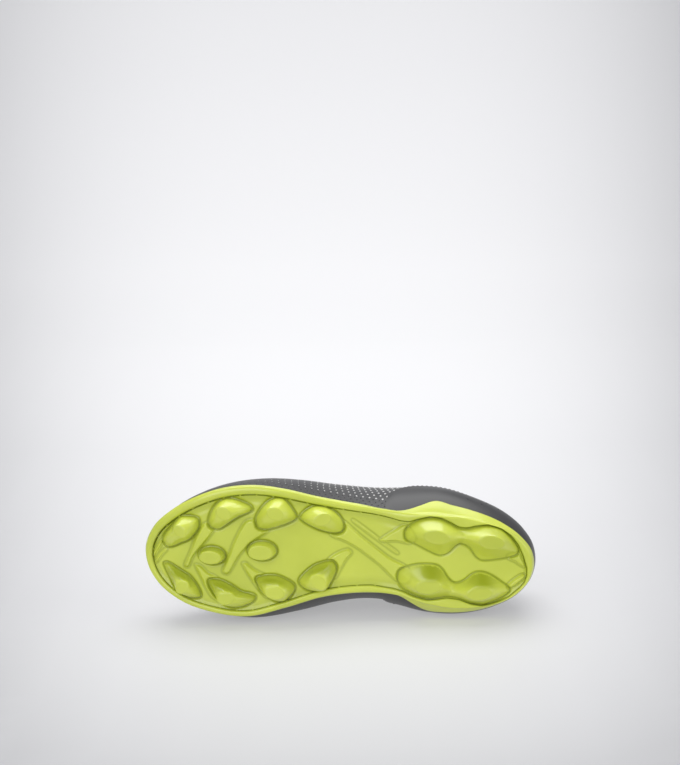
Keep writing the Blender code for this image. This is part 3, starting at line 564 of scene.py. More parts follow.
# Forefoot studs: outline, tip (along, across, half length, half width, turn), height
STUD_FORMS = (
    (((266.8, 4.8), (270.7, 8.1), (270.4, 12.6), (264.4, 20.6), (258.8, 27.2), (254.0, 28.6), (246.8, 27.8),
      (245.0, 25.2), (246.0, 19.2), (251.6, 12.2), (258.2, 8.6)), (258.5, 16.6, 5.4, 3.4, 45), 11.0),
    (((233.5, 20.6), (237.0, 22.5), (238.1, 26.4), (235.4, 34.4), (229.4, 41.4), (221.7, 43.2),
      (213.9, 41.0),
      (208.1, 38.2), (207.0, 35.3), (210.8, 33.2), (217.4, 30.0), (223.1, 25.9), (229.7, 20.9)),
     (227.2, 31.7, 5.6, 4.2, 35), 12.0),
    (((201.8, 22.6), (203.6, 25.5), (204.0, 30.4), (199.4, 38.5), (192.8, 44.1), (186.1, 44.6),
      (182.2, 42.0),
      (175.6, 32.9), (175.8, 30.0), (182.6, 26.2), (195.0, 21.9)), (190.5, 32.8, 6.0, 4.2, 20), 12.0),
    (((172.6, 31.4), (170.4, 34.8), (163.8, 39.1), (156.0, 38.8), (149.2, 36.1), (143.2, 30.4),
      (141.1, 24.5),
      (142.9, 20.8), (148.7, 19.7), (157.4, 21.8), (166.2, 25.7), (171.6, 29.3)),
      (156.7, 29.0, 6.2, 4.2, -20), 12.0),
    (((269.7, -10.1), (269.9, -7.4), (266.4, -7.5), (257.6, -12.2), (250.7, -16.4), (245.6, -23.1),
      (243.0, -28.7),
      (244.2, -30.9), (252.1, -31.0), (260.0, -26.5), (265.1, -18.8)), (256.0, -24.6, 5.4, 3.8, -45), 11.0),
    (((237.1, -19.9), (236.2, -17.2), (229.4, -17.2), (221.6, -20.4), (213.8, -25.1), (205.0, -26.8),
      (203.3, -28.9), (204.9, -31.9), (211.5, -35.3), (219.2, -36.6), (226.0, -34.3), (233.0, -27.6)),
     (224.4, -30.6, 6.4, 4.4, -20), 12.0),
    (((203.0, -15.9), (200.7, -13.3), (192.0, -12.1), (185.2, -13.3), (176.4, -18.0), (175.1, -21.9),
      (178.1, -26.9), (181.8, -30.5), (186.6, -31.1), (193.4, -28.4), (199.4, -23.6)),
     (189.5, -25.0, 6.8, 4.6, 8), 12.0),
    (((172.1, -16.9), (169.9, -11.9), (162.4, -5.2), (154.7, -2.0), (149.0, -1.3), (146.0, -4.2),
      (145.8, -9.1),
      (149.4, -17.1), (153.1, -22.7), (160.8, -23.4), (167.6, -21.6)), (158.4, -17.2, 6.6, 4.4, 38), 12.0),
)
# Low disc studs: foot and tip ovals (along, across, half length, half width), height
DISC_FORMS = (
    ((235.2, 0.8, 9.4, 6.2), (236.4, -1.0, 7.9, 4.6), 9.0),
    ((199.2, 6.0, 10.3, 6.8), (200.4, 4.2, 8.8, 5.2), 9.0),
)
# Heel pads: outline, and their stud tips (along, across, half length, half width, turn)
HEEL_FORMS = (
    (((96.7, 20.5), (95.4, 24.7), (88.0, 30.6), (79.9, 32.9), (71.8, 32.2), (64.6, 28.9), (59.5, 26.1),
      (53.4, 25.4), (46.4, 27.1), (38.4, 28.6), (29.2, 26.8), (21.9, 21.2), (16.5, 14.2), (15.3, 9.8),
      (18.9, 7.1), (28.5, 4.9), (39.6, 3.6), (44.9, 6.1), (50.0, 12.7), (56.1, 15.6), (60.3, 13.9),
      (66.0, 8.1), (71.7, 6.5), (79.2, 9.2), (88.4, 13.5), (95.0, 16.2)),
     ((75.5, 19.1, 8.6, 4.7, 6), (36.0, 16.5, 8.6, 4.7, 6))),
    (((100.6, -9.8), (98.9, -6.2), (92.9, -3.5), (84.9, -1.5), (74.8, -1.4), (69.7, -4.3), (64.4, -11.5),
      (59.2, -14.4), (53.2, -12.4), (47.3, -7.4), (42.3, -5.7), (35.2, -7.3), (25.9, -12.9), (20.5, -16.9),
      (20.7, -19.8), (27.5, -25.0), (34.5, -28.0), (39.5, -29.2), (47.7, -28.0), (55.9, -25.1),
      (65.0, -23.9),
      (72.0, -25.2), (79.1, -26.1), (88.3, -23.9), (96.5, -19.8), (100.2, -14.5)),
     ((79.9, -17.7, 8.6, 4.7, -6), (42.9, -21.2, 8.6, 4.7, -6))),
)
HEEL_STUD_HEIGHT = 12.0
# Line round the heel pads, from side to side, where the wide heel band starts
HEEL_GROOVE = (
    (126.0, 33.6), (114.0, 31.6), (101.6, 29.6), (94.5, 29.2), (88.6, 31.4), (79.9, 34.0), (71.6, 33.3),
    (64.2, 30.0), (59.3, 27.3), (53.4, 26.6), (46.7, 28.2), (38.2, 29.4), (28.4, 26.8), (20.9, 21.6),
      (15.2, 14.6),
    (11.4, 6.5), (8.6, -1.5), (8.2, -7.3), (9.8, -12.2), (13.6, -16.8), (20.4, -22.8), (27.2, -26.4),
      (34.2, -29.0),
    (39.6, -30.2), (48.1, -29.0), (56.1, -26.2), (65.0, -25.1), (72.0, -26.4), (79.2, -27.3), (88.8, -25.0),
    (97.3, -21.4), (104.0, -20.2), (114.0, -20.4), (126.0, -20.6),
)
# Ribs and fins: outline, height
RIB_FORMS = (
    (((242.3, 23.3), (247.8, 13.3), (251.3, 3.3), (255.3, -6.7), (254.2, -9.4), (251.4, -7.9),
      (248.3, -0.5),
      (240.0, 10.6), (233.5, 20.6), (237.0, 25.0)), 1.7),
    (((211.6, 27.2), (218.9, 14.2), (223.3, 2.2), (227.8, -9.7), (225.4, -12.6), (221.9, -10.7),
      (214.6, 2.5),
      (205.3, 12.6), (194.1, 21.9), (203.0, 28.0)), 1.7),
    (((247.5, -6.5), (246.9, -9.5), (243.0, -17.0), (239.5, -24.0), (234.0, -31.5), (226.0, -34.0),
      (224.0, -26.0),
      (231.0, -15.5), (238.0, -12.0), (243.0, -7.5)), 1.5),
    (((213.5, -3.9), (212.2, -7.4), (207.0, -15.5), (200.6, -24.0), (194.4, -29.4), (188.0, -24.0),
      (191.0, -14.0),
      (196.8, -11.7), (205.0, -7.6), (210.6, -3.4)), 1.5),
    (((279.6, -3.2), (277.8, -4.4), (274.5, 1.5), (271.0, 8.2), (272.4, 10.0), (276.0, 4.5)), 1.0),
    (((277.2, -6.6), (275.4, -7.6), (271.6, -1.8), (268.2, 2.2), (269.8, 3.4), (274.0, -1.0)), 1.0),
    (((135.2, 6.4), (138.2, 7.9), (144.0, 5.9), (149.7, 2.3), (153.5, -3.0), (151.0, -12.0), (146.2, -14.1),
      (142.6, -8.0), (138.3, 0.0), (135.0, 4.0)), 1.5),
    (((140.5, 28.4), (130.1, 19.5), (119.7, 11.5), (107.3, 2.6), (96.0, -2.7), (92.0, -8.0), (95.0, -14.0),
      (101.7, -14.8), (114.2, -3.8), (129.7, 7.6), (140.0, 13.5), (150.2, 17.8), (152.0, 26.0),
      (147.0, 31.0)), 1.8),
    (((133.5, 29.4), (134.6, 28.0), (124.0, 20.0), (112.5, 11.8), (103.0, 5.6), (101.8, 7.0), (111.5, 13.6),
      (123.0, 22.0)), 0.9),
    (((96.9, 27.2), (104.5, 23.2), (112.8, 17.4), (114.8, 15.2), (112.2, 13.8), (103.0, 14.6), (92.5, 13.7),
      (90.0, 20.0)), 1.4),
    (((15.5, 9.6), (11.6, 4.6), (9.4, -0.8), (12.0, -0.6), (17.0, 2.6), (22.5, 5.3), (22.0, 9.0)), 1.2),
    (((21.3, -14.3), (14.9, -8.4), (10.2, -6.4), (9.4, -8.8), (14.0, -13.4), (20.2, -17.4)), 1.2),
)


def ellipse_gap(points, centre, half, turn):
    """Rough distance in mm outside an ellipse, zero inside."""
    c, s = math.cos(math.radians(turn)), math.sin(math.radians(turn))
    local = (points - centre) @ np.array(((c, -s), (s, c)))
    share = np.linalg.norm(local / half, axis=1)
    return np.maximum(share - 1, 0) * min(half) * 1.15


def step_up(gap, width):
    """0 outside to 1 inside, over a width."""
    t = np.clip(-gap / width, 0, 1)
    return t * t * (3 - 2 * t)


def ridge(value, middle, width):
    """A soft ridge: 1 in the middle, falling to 0 on both sides."""
    return np.exp(-(((value - middle) / width) ** 2))


def oval_loop(form, count):
    """Plan points round an oval (along, across, half length, half width)."""
    x, y, half_x, half_y = form
    turns = turns_of(count)
    return np.column_stack([x + half_x * np.cos(turns), y + half_y * np.sin(turns)])


def sole_relief(points):
    """Height of the moulding over the plain underside, in mm, and how much painted shade each point carries:
    in grooves, round stud and pad feet, round the heel studs' tips and on the medial pad's upper sides.
    """
    height, dark = np.zeros(len(points)), np.zeros(len(points))

    # Cuts a groove into the height and paints shade along it
    def groove_and_painted_shade(gap, deep, place, width, shade):
        cut = ridge(gap, place, width)
        return height - deep * cut, np.maximum(dark, shade * cut)

    for outline, rise in RIB_FORMS:
        gap = gap_to(points, smooth_loop(outline))
        height = np.maximum(height, 1.4 * rise * step_up(gap, 1.7))
        # Painted shade in the groove round each rib; it is cleared inside the rib
        height, dark = groove_and_painted_shade(gap, 0.5, 0.6, 0.7, 0.6)
        dark = np.where(gap < -0.4, 0, dark)
    loops = [smooth_loop(form[0]) for form in STUD_FORMS]
    loops += [oval_loop(form[0], 48) for form in DISC_FORMS]
    pads = [smooth_loop(form[0]) for form in HEEL_FORMS]
    for loop in loops + pads:
        gap = gap_to(points, loop)
        height = np.where(gap < 2.0, np.minimum(height, 0.1 + 0.9 * np.maximum(gap - 0.4, 0)), height)
        # Painted shade in the groove round each stud's and pad's foot
        height, dark = groove_and_painted_shade(gap, 1.0, 0.6, 0.75, 0.85)
    for loop, (_, tips) in zip(pads, HEEL_FORMS):
        gap = gap_to(points, loop)
        inner = np.maximum(-gap, 0)
        best, shaded = np.zeros(len(points)), np.zeros(len(points))
        for x, y, half_x, half_y, turn in tips:
            out = ellipse_gap(points, (x, y + PARALLAX), (half_x, half_y), turn)
            share = inner / (inner + out + 1e-9)
            fall = np.clip(1 - out / 16.0, 0, 1)
            best = np.maximum(best, HEEL_STUD_HEIGHT * (1 - (1 - share) ** 1.45) * (0.25 + 0.75 * fall))
            # Painted shade in a thin ring round each heel stud's tip
            dark = np.maximum(dark, 0.22 * np.exp(-((out / 0.7) ** 2)) * (gap < -1))
            # Painted shade: the medial pad's studs are darker on their upper sides
            upper_side = np.clip((points[:, 1] - y - 4.0) / 5.0, 0, 1) * ridge(points[:, 0], x - 2, 11)
            shaded = np.maximum(shaded, 0.8 * (y < 0) * upper_side * (gap < -0.8))
        height = np.where(gap < 0, np.maximum(best, 1.6 * step_up(gap, 2.0)), height)
        dark = np.maximum(np.where(gap < -1.2, np.minimum(dark, 0.22), dark), shaded)
    return height, dark


def ring_loft(rings, count, start):
    """Faces of rings of points joined in a row, with a fan to a last centre point."""
    last, tip = start + (rings - 1) * count, start + rings * count
    fan = [(last + k, last + (k + 1) % count, tip) for k in range(count)]
    return grid_faces(rings, count, closed_columns=True, start=start) + fan


SIDE_COLUMNS = 480        # columns of the sole along each side
RUNG_PARTS = 124          # parts of the underside from side to side
DASH_PITCH = 0.0128       # dashes of the groove along the rim
# Section of the rim bead. Columns: inset as a share of its width, drop as a share of RIM_DROP
BEAD = ((0.91, 0.72), (0.75, 0.95), (0.54, 1.0), (0.35, 0.86), (0.19, 0.55), (0.07, 0.15))
LIP_ROWS = np.array((0.10, 0.25, 0.42, 0.60, 0.78, 0.92, 1.0))


def band_width(shell, band, heel):
    """Width of the rim round the sole: at the heel it reaches in to the line round the pads."""
    reach = ray_reach(shell.plan, -shell.outward, np.array(HEEL_GROOVE) / 1000)
    wide = np.where(reach < 0.018, np.maximum(reach, 0.0012), 0.0012)
    wide = band + (wide - band) * heel
    for _ in range(3):
        wide = (np.roll(wide, 1) + 2 * wide + np.roll(wide, -1)) / 4
    return wide


def sole_bottom(shell, inner):
    """Points and painted-shade marks of the underside inside the rim, on rungs from side to side."""
    share = np.linspace(0, 1, RUNG_PARTS + 1)[None, :, None]
    rungs = np.arange(1, shell.side)
    near, far = inner[rungs][:, None, :], inner[shell.columns - rungs][:, None, :]
    flat = (near * (1 - share) + far * share).reshape(-1, 2)
    height, dark = sole_relief(flat * 1000)
    span = np.linalg.norm(near - far, axis=-1)
    inward = (np.minimum(share, 1 - share)[..., 0] * span).ravel() * 1000
    edge = np.minimum(share, 1 - share)[0, :, 0] * 2
    swell = np.tile(0.0006 * np.sin(np.clip(edge, 0, 1) * math.pi / 2), len(rungs))
    dish = 0.7 * ridge(inward, 3.5, 3.0) * (height < 0.05)
    z = underside(flat[:, 0]) + swell - (height - dish) / 1000
    # Painted shade along the plate's edge where it meets the rim bead, over the relief's painted shade
    return np.column_stack([flat, z]), np.maximum(dark, 0.35 * ridge(inward, 0, 4.5))


def sole_rim(shell, rim, wide, band, heel):
    """Rows of points over the rim bead, the lip and the heel wings, and their painted-shade marks."""
    top = shell.share_at_height(rim[:, 0] * WING_HEIGHT)[:, None]
    dash = np.abs(((run_along(shell.plan) / DASH_PITCH) % 1.0) - 0.5) * 2
    dashes = np.maximum(np.clip((0.93 - dash) * 12, 0, 1), heel)
    low = underside(shell.plan[:, 0])
    drop = RIM_DROP * (1 - 0.8 * heel * ridge(shell.plan[:, 0], 0.055, 0.012))
    cut = np.minimum(band * 0.16, wide * 0.5)
    outer = wide - cut
    section = [
        (wide, -0.0002),
        (wide - cut * 0.22, -0.0004 - 0.0009 * dashes),
        (wide - cut * 0.70, -0.0004 - 0.0010 * dashes),
        (outer, drop * 0.35),
        *((outer * inset, drop * down) for inset, down in BEAD),
        (outer * 0, -PLATE * 0.30),
    ]
    rows = [on_height(shell.plan - shell.outward * inset[:, None], low - down) for inset, down in section]
    lifts = HUG + RIM_WALL
    lip = shell.surface(top * LIP_ROWS, lifts)
    crest = shell.surface(top, lifts - RIM_WALL * 0.35) + (0, 0, RIM_WALL * 0.28)
    back = shell.surface(top * np.array((1.0, 0.6)), HUG)
    rows = np.array([*rows, *lip.transpose(1, 0, 2), crest[:, 0], back[:, 0], back[:, 1]])
    dark = np.zeros(rows.shape[:2])
    # Painted shade in the dashed groove along the rim's outer edge
    dark[:3] = np.array((0.75, 1.0, 0.9))[:, None] * (0.25 + 0.75 * dashes)
    return rows, dark.ravel()


# Side of a stud. Columns: way in from its foot to its tip's edge, and past 1 over the tip, and rise
STUD_SIDE = (
    (0.00, -0.05), (0.02, 0.04), (0.10, 0.20), (0.22, 0.38), (0.38, 0.56), (0.56, 0.73),
    (0.74, 0.86), (0.88, 0.94), (0.96, 0.978), (1.0, 0.99), (1.06, 1.0), (1.30, 1.0),
)
STUD_TURNS = turns_of(56)


def stud(loop, tip, tall, shift):
    """Points of one stud, ring by ring to the middle of its tip, and their painted-shade marks."""
    x, y, half_x, half_y, turn = tip
    turns = STUD_TURNS
    centre = np.array((x, y + shift))
    offset = loop - centre
    angle = np.arctan2(offset[:, 1], offset[:, 0])
    order = np.argsort(angle)
    wrapped = np.concatenate([angle[order] + whole for whole in (-2 * math.pi, 0, 2 * math.pi)])
    radius = np.tile(np.linalg.norm(offset, axis=1)[order], 3)
    foot = np.interp(np.where(turns > math.pi, turns - 2 * math.pi, turns), wrapped, radius)
    local = turns - math.radians(turn)
    edge = half_x * half_y / np.hypot(half_y * np.cos(local), half_x * np.sin(local))
    edge = np.minimum(edge, foot * 0.93)
    ways = np.column_stack([np.cos(turns), np.sin(turns)])
    points, shade = [], []
    for part, rise in STUD_SIDE:
        # Painted shade: the medial studs are darker on their upper sides
        flank_shade = 0.75 * (y < 0) * math.sin(min(part * 1.15, 1) * math.pi) ** 0.6 if part <= 1 else 0
        # Painted shade in a ring at the stud's foot and a thin ring at the tip's edge, and a little over the
        # tip
        rim = 0.7 * max(0, 1 - part / 0.06) + 0.22 * max(0, 1 - abs(part - 1.0) / 0.05)
        rim += 0.10 * (part > 1)
        shade.append(flank_shade * np.clip(np.sin(turns) + 0.15, 0, 1) + rim)
        reach = foot + (edge - foot) * min(part, 1.0)
        if part > 1:
            reach = edge * (2 - part) * (0.97 if part < 1.1 else 0.9)
        ring = (centre + ways * reach[:, None]) / 1000
        points.append(on_height(ring, underside(ring[:, 0]) - rise * tall / 1000))
    middle = centre[None] / 1000
    points.append(on_height(middle, underside(middle[:, 0]) - (tall + 0.08) / 1000))
    return np.concatenate(points), np.concatenate([*shade, [0.12]])


def outsole():
    shell = Shell(SIDE_COLUMNS)
    rim = smooth(RIM, shell.round, 1.0)
    band = rim[:, 1] * RIM_BAND
    heel = np.clip((0.120 - shell.plan[:, 0]) / 0.020, 0, 1)
    wide = band_width(shell, band, heel)
    bottom, bottom_marks = sole_bottom(shell, shell.plan - shell.outward * wide[:, None])
    rows, rim_marks = sole_rim(shell, rim, wide, band, heel)
    points, marks = [bottom, rows.reshape(-1, 3)], [bottom_marks, rim_marks]
    faces = grid_faces(shell.side - 1, RUNG_PARTS + 1, flip=True)
    faces += grid_faces(len(rows), shell.columns, closed_columns=True, start=len(bottom), flip=True)
    forms = [(smooth_loop(outline), tip, tall, PARALLAX) for outline, tip, tall in STUD_FORMS]
    for foot, tip, tall in DISC_FORMS:
        shift = PARALLAX * tall / STUD_HEIGHT / 1000
        forms.append((oval_loop(foot, len(STUD_TURNS)), (*tip, 0), tall, shift))
    for form in forms:
        faces += ring_loft(len(STUD_SIDE), len(STUD_TURNS), sum(map(len, points)))
        made, shade = stud(*form)
        points.append(made)
        marks.append(shade)
    points, marks = np.concatenate(points), {"groove_and_painted_shade": np.concatenate(marks)}
    return piece("outsole_moulding", points, faces, [LIME], ("outsole",), marks=marks)


outsole()


# The upper

def line_lengths(points, axis):
    """Running length along one axis of a grid of points."""
    steps = np.linalg.norm(np.diff(points, axis=axis), axis=-1)
    first = np.zeros_like(np.take(steps, [0], axis=axis))
    return np.concatenate([first, np.cumsum(steps, axis=axis)], axis=axis)


# Creases behind the ball. Columns: along as a share of LENGTH, depth
CREASES = ((0.735, 0.00045), (0.700, 0.00055), (0.668, 0.00040))


def creases(shell, up):
    """Lift of the upper's outer face by soft creases where the ball bends, in metres."""
    points = shell.surface(up)
    wave = np.sin(points[..., 1] * 95.0 + points[..., 2] * 60.0)
    x = points[..., 0] / LENGTH + 0.006 * wave
    above_sole = np.clip((up - 0.25) * 3, 0, 1)
    lift = np.zeros(points.shape[:2])
    for place, deep in CREASES:
        lift += deep * (0.6 * ridge(x, place + 0.017, 0.010) - ridge(x, place, 0.008)) * above_sole
    return lift


def upper():
    shell = Shell(150)
    outer_up = np.concatenate([np.linspace(0, 0.97, 66), [0.985, 1.0]])
    up = np.broadcast_to(outer_up, (shell.columns, len(outer_up)))
    outer = shell.surface(outer_up, creases(shell, up))
    # Padded collar: the inner wall swells inward near the edge at the heel
    inner_up = np.concatenate([[1.0, 0.985], np.linspace(0.965, 0.0, 38)])
    round_share = np.minimum(shell.round, 1 - shell.round)[:, None]
    collar = np.clip((0.215 - round_share) / 0.03, 0, 1)
    pad = 0.0032 * collar * ridge(inner_up[None, :], 0.80, 0.16)
    edge_in = np.clip((1.0 - inner_up[None, :]) / 0.035, 0, 1)
    inner = shell.surface(inner_up, -(UPPER_WALL * (0.45 + 0.55 * edge_in) + pad))
    grid = np.concatenate([outer, inner], axis=1)
    rows = grid.shape[1]
    across = line_lengths(np.concatenate([grid, grid[:1]], axis=0), 0)[:-1]
    high = line_lengths(grid, 1)
    uv = np.stack([across, high], axis=-1)
    faces = grid_faces(shell.columns, rows, closed_rows=True)
    which = np.tile((np.arange(rows - 1) >= len(outer_up)).astype(int), shell.columns)
    rise = np.concatenate([up, np.zeros((shell.columns, len(inner_up)))], axis=1)
    zone = np.clip((0.30 - round_share) / 0.05, 0, 1) * np.clip((rise - 0.50) / 0.10, 0, 1)
    marks = {"chevron": (zone * (rise < 0.975)).ravel()}
    skins = [SKIN, KNIT]
    return piece("upper_shell", grid, faces, skins, ("upper",), uv, which, marks=marks)


upper()


def counter():
    shell = Shell(150)
    table = np.array(COUNTER)
    wrapped = np.where(shell.round > 0.5, shell.round - 1, shell.round)
    top = smooth(COUNTER, wrapped)
    rim = smooth(RIM, shell.round, 1.0)[:, 0] * WING_HEIGHT + RIM_WALL / 3 + 2 * GAP
    bottom = shell.share_at_height(rim)[:, None]
    first, last = round(table[0, 0] * shell.columns), round(table[-1, 0] * shell.columns)
    chosen = [c % shell.columns for c in range(first, last + 1)]
    rows = bottom - 0.012 + (top - bottom + 0.012) * np.concatenate([np.linspace(0, 0.96, 24), [0.985, 1.0]])
    thick = np.concatenate([np.full(24, 1.0), [0.86, 0.45]])
    ends = np.ones(len(chosen))
    ends[:2], ends[-2:] = (0.3, 0.75), (0.75, 0.3)
    lift = np.zeros((shell.columns, len(thick)))
    lift[chosen] = HUG + COUNTER_WALL * thick[None, :] * ends[:, None]
    outer = shell.surface(rows, lift)[chosen]
    inner = shell.surface(rows[:, ::-1], 0.0001)[chosen]
    grid = np.concatenate([outer, inner], axis=1)
    faces = grid_faces(grid.shape[0], grid.shape[1])
    return piece("heel_panel", grid, faces, [PANEL], ("heel_counter",), sharp=50)


counter()


def eyestay():
    shell = Shell(150)
    first, last = round(THROAT_START * shell.columns), round((1 - THROAT_START) * shell.columns)
    chosen = np.arange(first, last + 1)
    lower = [EYESTAY_START, EYESTAY_START + 0.004]
    rows = np.concatenate([lower, np.linspace(EYESTAY_START + 0.012, 0.985, 10), [0.995, 1.0]])
    thick = np.concatenate([[0.3, 0.8], np.ones(10), [0.9, 0.5]])
    outer = shell.surface(rows, GAP + EYESTAY_WALL * thick)[chosen]
    inner = shell.surface(rows[::-1], 0.0001)[chosen]
    grid = np.concatenate([outer, inner], axis=1)
    faces = grid_faces(*grid.shape[:2])
    return piece("eyestay_band", grid, faces, [PANEL], ("eyestay",), sharp=50)


eyestay()


def tongue_grid(shell):
    """Middle face of the tongue, from its free end to the edge under the vamp."""
    under = -(UPPER_WALL + 2 * GAP)
    sides = shell.surface(np.array(UPPER_ROWS[-3:]), under)
    first, last = round(THROAT_START * shell.columns) + 2, round(TONGUE_FRONT * shell.columns)
    rows = []
    for column in range(first, last + 1):
        near, far = sides[column], sides[shell.columns - column][::-1]
        part = ((column - first) / (last - first)) ** 2
        crown = TONGUE_CROWN * (1 - part) - TONGUE_DIP * part
        middle = [
            near[-1] + (far[0] - near[-1]) * step + (0, 0, crown * 4 * step * (1 - step))
            for step in (0.25, 0.5, 0.75)
        ]
        rows.append(np.array([*near, *middle, *far]))
    front = sides[last + 1 : shell.columns - last, 0]
    rows.append(spread(front, len(rows[0])))
    free = spread(rows[0][2:-2], len(rows[0]))
    step = (rows[0] - rows[1])[4]
    step = step * TONGUE_REACH / 2 / np.linalg.norm(step)
    rows[0] = free
    for count, narrow in ((1, 0.84), (2, 0.76)):
        rows.insert(0, free * (1, narrow, 1) + step * count + (0, 0, TONGUE_RISE * count**2 / 4))
    return np.array(rows)


def refine(grid, rows, columns):
    """A grid sampled more finely on smooth arcs both ways."""
    keys = np.arange(grid.shape[0], dtype=float)
    flat = np.column_stack([keys, grid.reshape(grid.shape[0], -1)])
    tall = smooth(flat, np.linspace(0, keys[-1], rows)).reshape(rows, grid.shape[1], 3).transpose(1, 0, 2)
    keys = np.arange(grid.shape[1], dtype=float)
    flat = np.column_stack([keys, tall.reshape(grid.shape[1], -1)])
    return smooth(flat, np.linspace(0, keys[-1], columns)).reshape(columns, rows, 3).transpose(1, 0, 2)


def grid_normals(grid):
    normal = np.cross(np.gradient(grid, axis=1), np.gradient(grid, axis=0))
    normal *= np.sign(normal[..., 2:].mean())
    return unit(normal)


def tongue():
    coarse_grid = tongue_grid(Shell(CAD_SIDE_COLUMNS))
    fine = refine(coarse_grid, 110, 46)
    normals = grid_normals(fine)
    v = np.linspace(0, 1, fine.shape[0])[:, None]
    u = np.linspace(-1, 1, fine.shape[1])[None, :]
    side = np.sqrt(np.clip(1 - np.abs(u) ** 6, 0, 1))
    end = np.sqrt(np.clip(1 - (1 - np.clip(v / 0.04, 0, 1)) ** 2, 0, 1))
    puff = side * end
    quilt = -0.0004 * ridge(np.abs(u), 0.45, 0.03) * np.clip(v * 20, 0, 1) * (v < 0.9)
    top = fine + normals * (-TONGUE * 0.5 * (1 - puff) + quilt * puff)[..., None]
    low = fine - normals * (TONGUE * (0.5 + 0.5 * puff))[..., None]
    grid = np.concatenate([top, low[:, ::-1]], axis=1)
    uv = np.stack([line_lengths(grid, 1), line_lengths(grid, 0)], axis=-1)
    faces = grid_faces(grid.shape[0], grid.shape[1], closed_columns=True)
    made = piece("padded_tongue", grid, faces, [KNIT], ("tongue",), uv)
    return made


tongue()


def insole():
    shell = Shell(120)
    inset = RIM_WALL + HUG + UPPER_WALL + 2 * GAP
    steps = ((0.0, 0.0), (0.0, 0.75), (0.0004, 0.92), (0.0012, 1.0))
    rings = []
    for inward, rise in steps:
        ring = shell.plan - shell.outward * (inset + GAP + inward)
        rings.append(on_height(ring, seat_top(ring[:, 0]) + INSOLE * rise))
    points = [np.array(rings).reshape(-1, 3)]
    faces = grid_faces(len(rings), shell.columns, closed_columns=True, flip=True)
    start = len(rings) * shell.columns
    inner = rings[-1][:, :2]
    parts = 24
    share = np.linspace(0, 1, parts + 1)[None, :, None]
    rungs = np.arange(1, shell.side)
    plan = inner[rungs][:, None] * (1 - share) + inner[shell.columns - rungs][:, None] * share
    cup = -0.0005 * np.sin(math.pi * share[..., 0])
    grid = np.concatenate([plan, (insole_top(plan[..., 0]) + cup)[..., None]], axis=-1)
    points.append(grid.reshape(-1, 3))
    faces += grid_faces(grid.shape[0], grid.shape[1], start=start)
    points = np.concatenate(points)
    return piece("sockliner_top", points, faces, [SOCK], ("insole",), points[:, :2])


insole()


# Laces, through the eyelets

EYELETS = np.linspace(THROAT_START + 0.012, TONGUE_FRONT - 0.03, LACE_ROWS)


def strip(path, widths, ups, thick):
    """A flat cord along a path, rounded at its edges: its rings of points."""
    path = np.array(path)
    way = unit(np.gradient(path, axis=0))
    side = unit(np.cross(ups, way))
    up = np.cross(way, side)
    turns = turns_of(12)
    across = np.sign(np.cos(turns)) * np.abs(np.cos(turns)) ** 0.6
    tall = np.sign(np.sin(turns)) * np.abs(np.sin(turns)) ** 0.8
    return (
        path[:, None]
        + side[:, None] * (across[None, :] * np.asarray(widths)[:, None] / 2)[..., None]
        + up[:, None] * (tall[None, :] * thick / 2)[..., None]
    )


def lace():
    shell = Shell(CAD_SIDE_COLUMNS)
    base = GAP + EYESTAY_WALL
    points, faces, uvs, start = [], [], [], 0
    runs = [(EYELETS[-1], 1 - EYELETS[-1], 0)]
    for high, low in zip(EYELETS, EYELETS[1:]):
        runs += [(low, 1 - high, 0), (high, 1 - low, 1)]
    for begin, end, layer in runs:
        lift = base + LACE_THICKNESS * (0.55 + 0.5 * layer)
        ease = (1 - begin - end) * 0.15
        keys = [
            shell.at(begin, EYELET_LINE, -0.0012),
            shell.at(begin, EYELET_LINE, base + 0.0004),
            shell.at(begin + ease * 0.2, EYELET_LINE + 0.016, lift),
            shell.at(begin + ease, 1.0, lift),
            None, None,
            shell.at(end + ease, 1.0, lift),
            shell.at(end + ease * 0.2, EYELET_LINE + 0.016, lift),
            shell.at(end, EYELET_LINE, base + 0.0004),
            shell.at(end, EYELET_LINE, -0.0012),
        ]
        near, far = keys[3], keys[6]
        for place, part in ((4, 0.33), (5, 0.67)):
            keys[place] = near + (far - near) * part + (0, 0, LACE_ARCH * 4 * part * (1 - part))
        keys = np.array(keys)
        at = np.linspace(0, len(keys) - 1, 45)
        path = smooth(np.column_stack([np.arange(len(keys), dtype=float), keys]), at)
        normal_a = shell.at(begin, EYELET_LINE, 0.001) - shell.at(begin, EYELET_LINE, 0.0)
        normal_b = shell.at(end, EYELET_LINE, 0.001) - shell.at(end, EYELET_LINE, 0.0)
        blend = np.linspace(0, 1, len(path))[:, None]
        ups = normal_a * (1 - blend) + normal_b * blend + np.array((0, 0, 0.001)) * np.sin(math.pi * blend)
        pinch = np.clip(np.minimum(at, len(keys) - 1 - at) / 2.4, 0, 1)
        widths = LACE_WIDTH * (0.5 + 0.5 * pinch**0.7)
        rings = strip(path, widths, ups, LACE_THICKNESS)
        points.append(rings.reshape(-1, 3))
        faces += grid_faces(rings.shape[0], rings.shape[1], closed_columns=True, start=start)
        length = line_lengths(path[:, None], 0)[:, 0]
        across = np.linspace(0, 2 * LACE_WIDTH, rings.shape[1])
        uvs.append(np.stack(np.broadcast_arrays(across[None, :], length[:, None]), axis=-1).reshape(-1, 2))
        start += rings.shape[0] * rings.shape[1]
    points, uvs = np.concatenate(points), np.concatenate(uvs)
    return piece("lacing", points, faces, [LACE], ("lace",), uvs)


lace()


# Small things, as joined meshes

def frame_at(shell, place, up, lift):
    """Point, outward normal and two directions on the surface: round the shoe and up it."""
    point = shell.at(place, up, lift)
    normal = unit(shell.at(place, up, lift + 0.001) - point)
    top = min(up + 0.01, 1.0)
    climb = shell.at(place, top, lift) - shell.at(place, top - 0.01, lift)
    climb = unit(climb - normal * (climb @ normal))
    return point, normal, np.cross(normal, climb), climb


def oval(turns, side, climb, half_w, half_h):
    """Points round an oval on two directions."""
    return np.outer(np.cos(turns), side * half_w) + np.outer(np.sin(turns), climb * half_h)


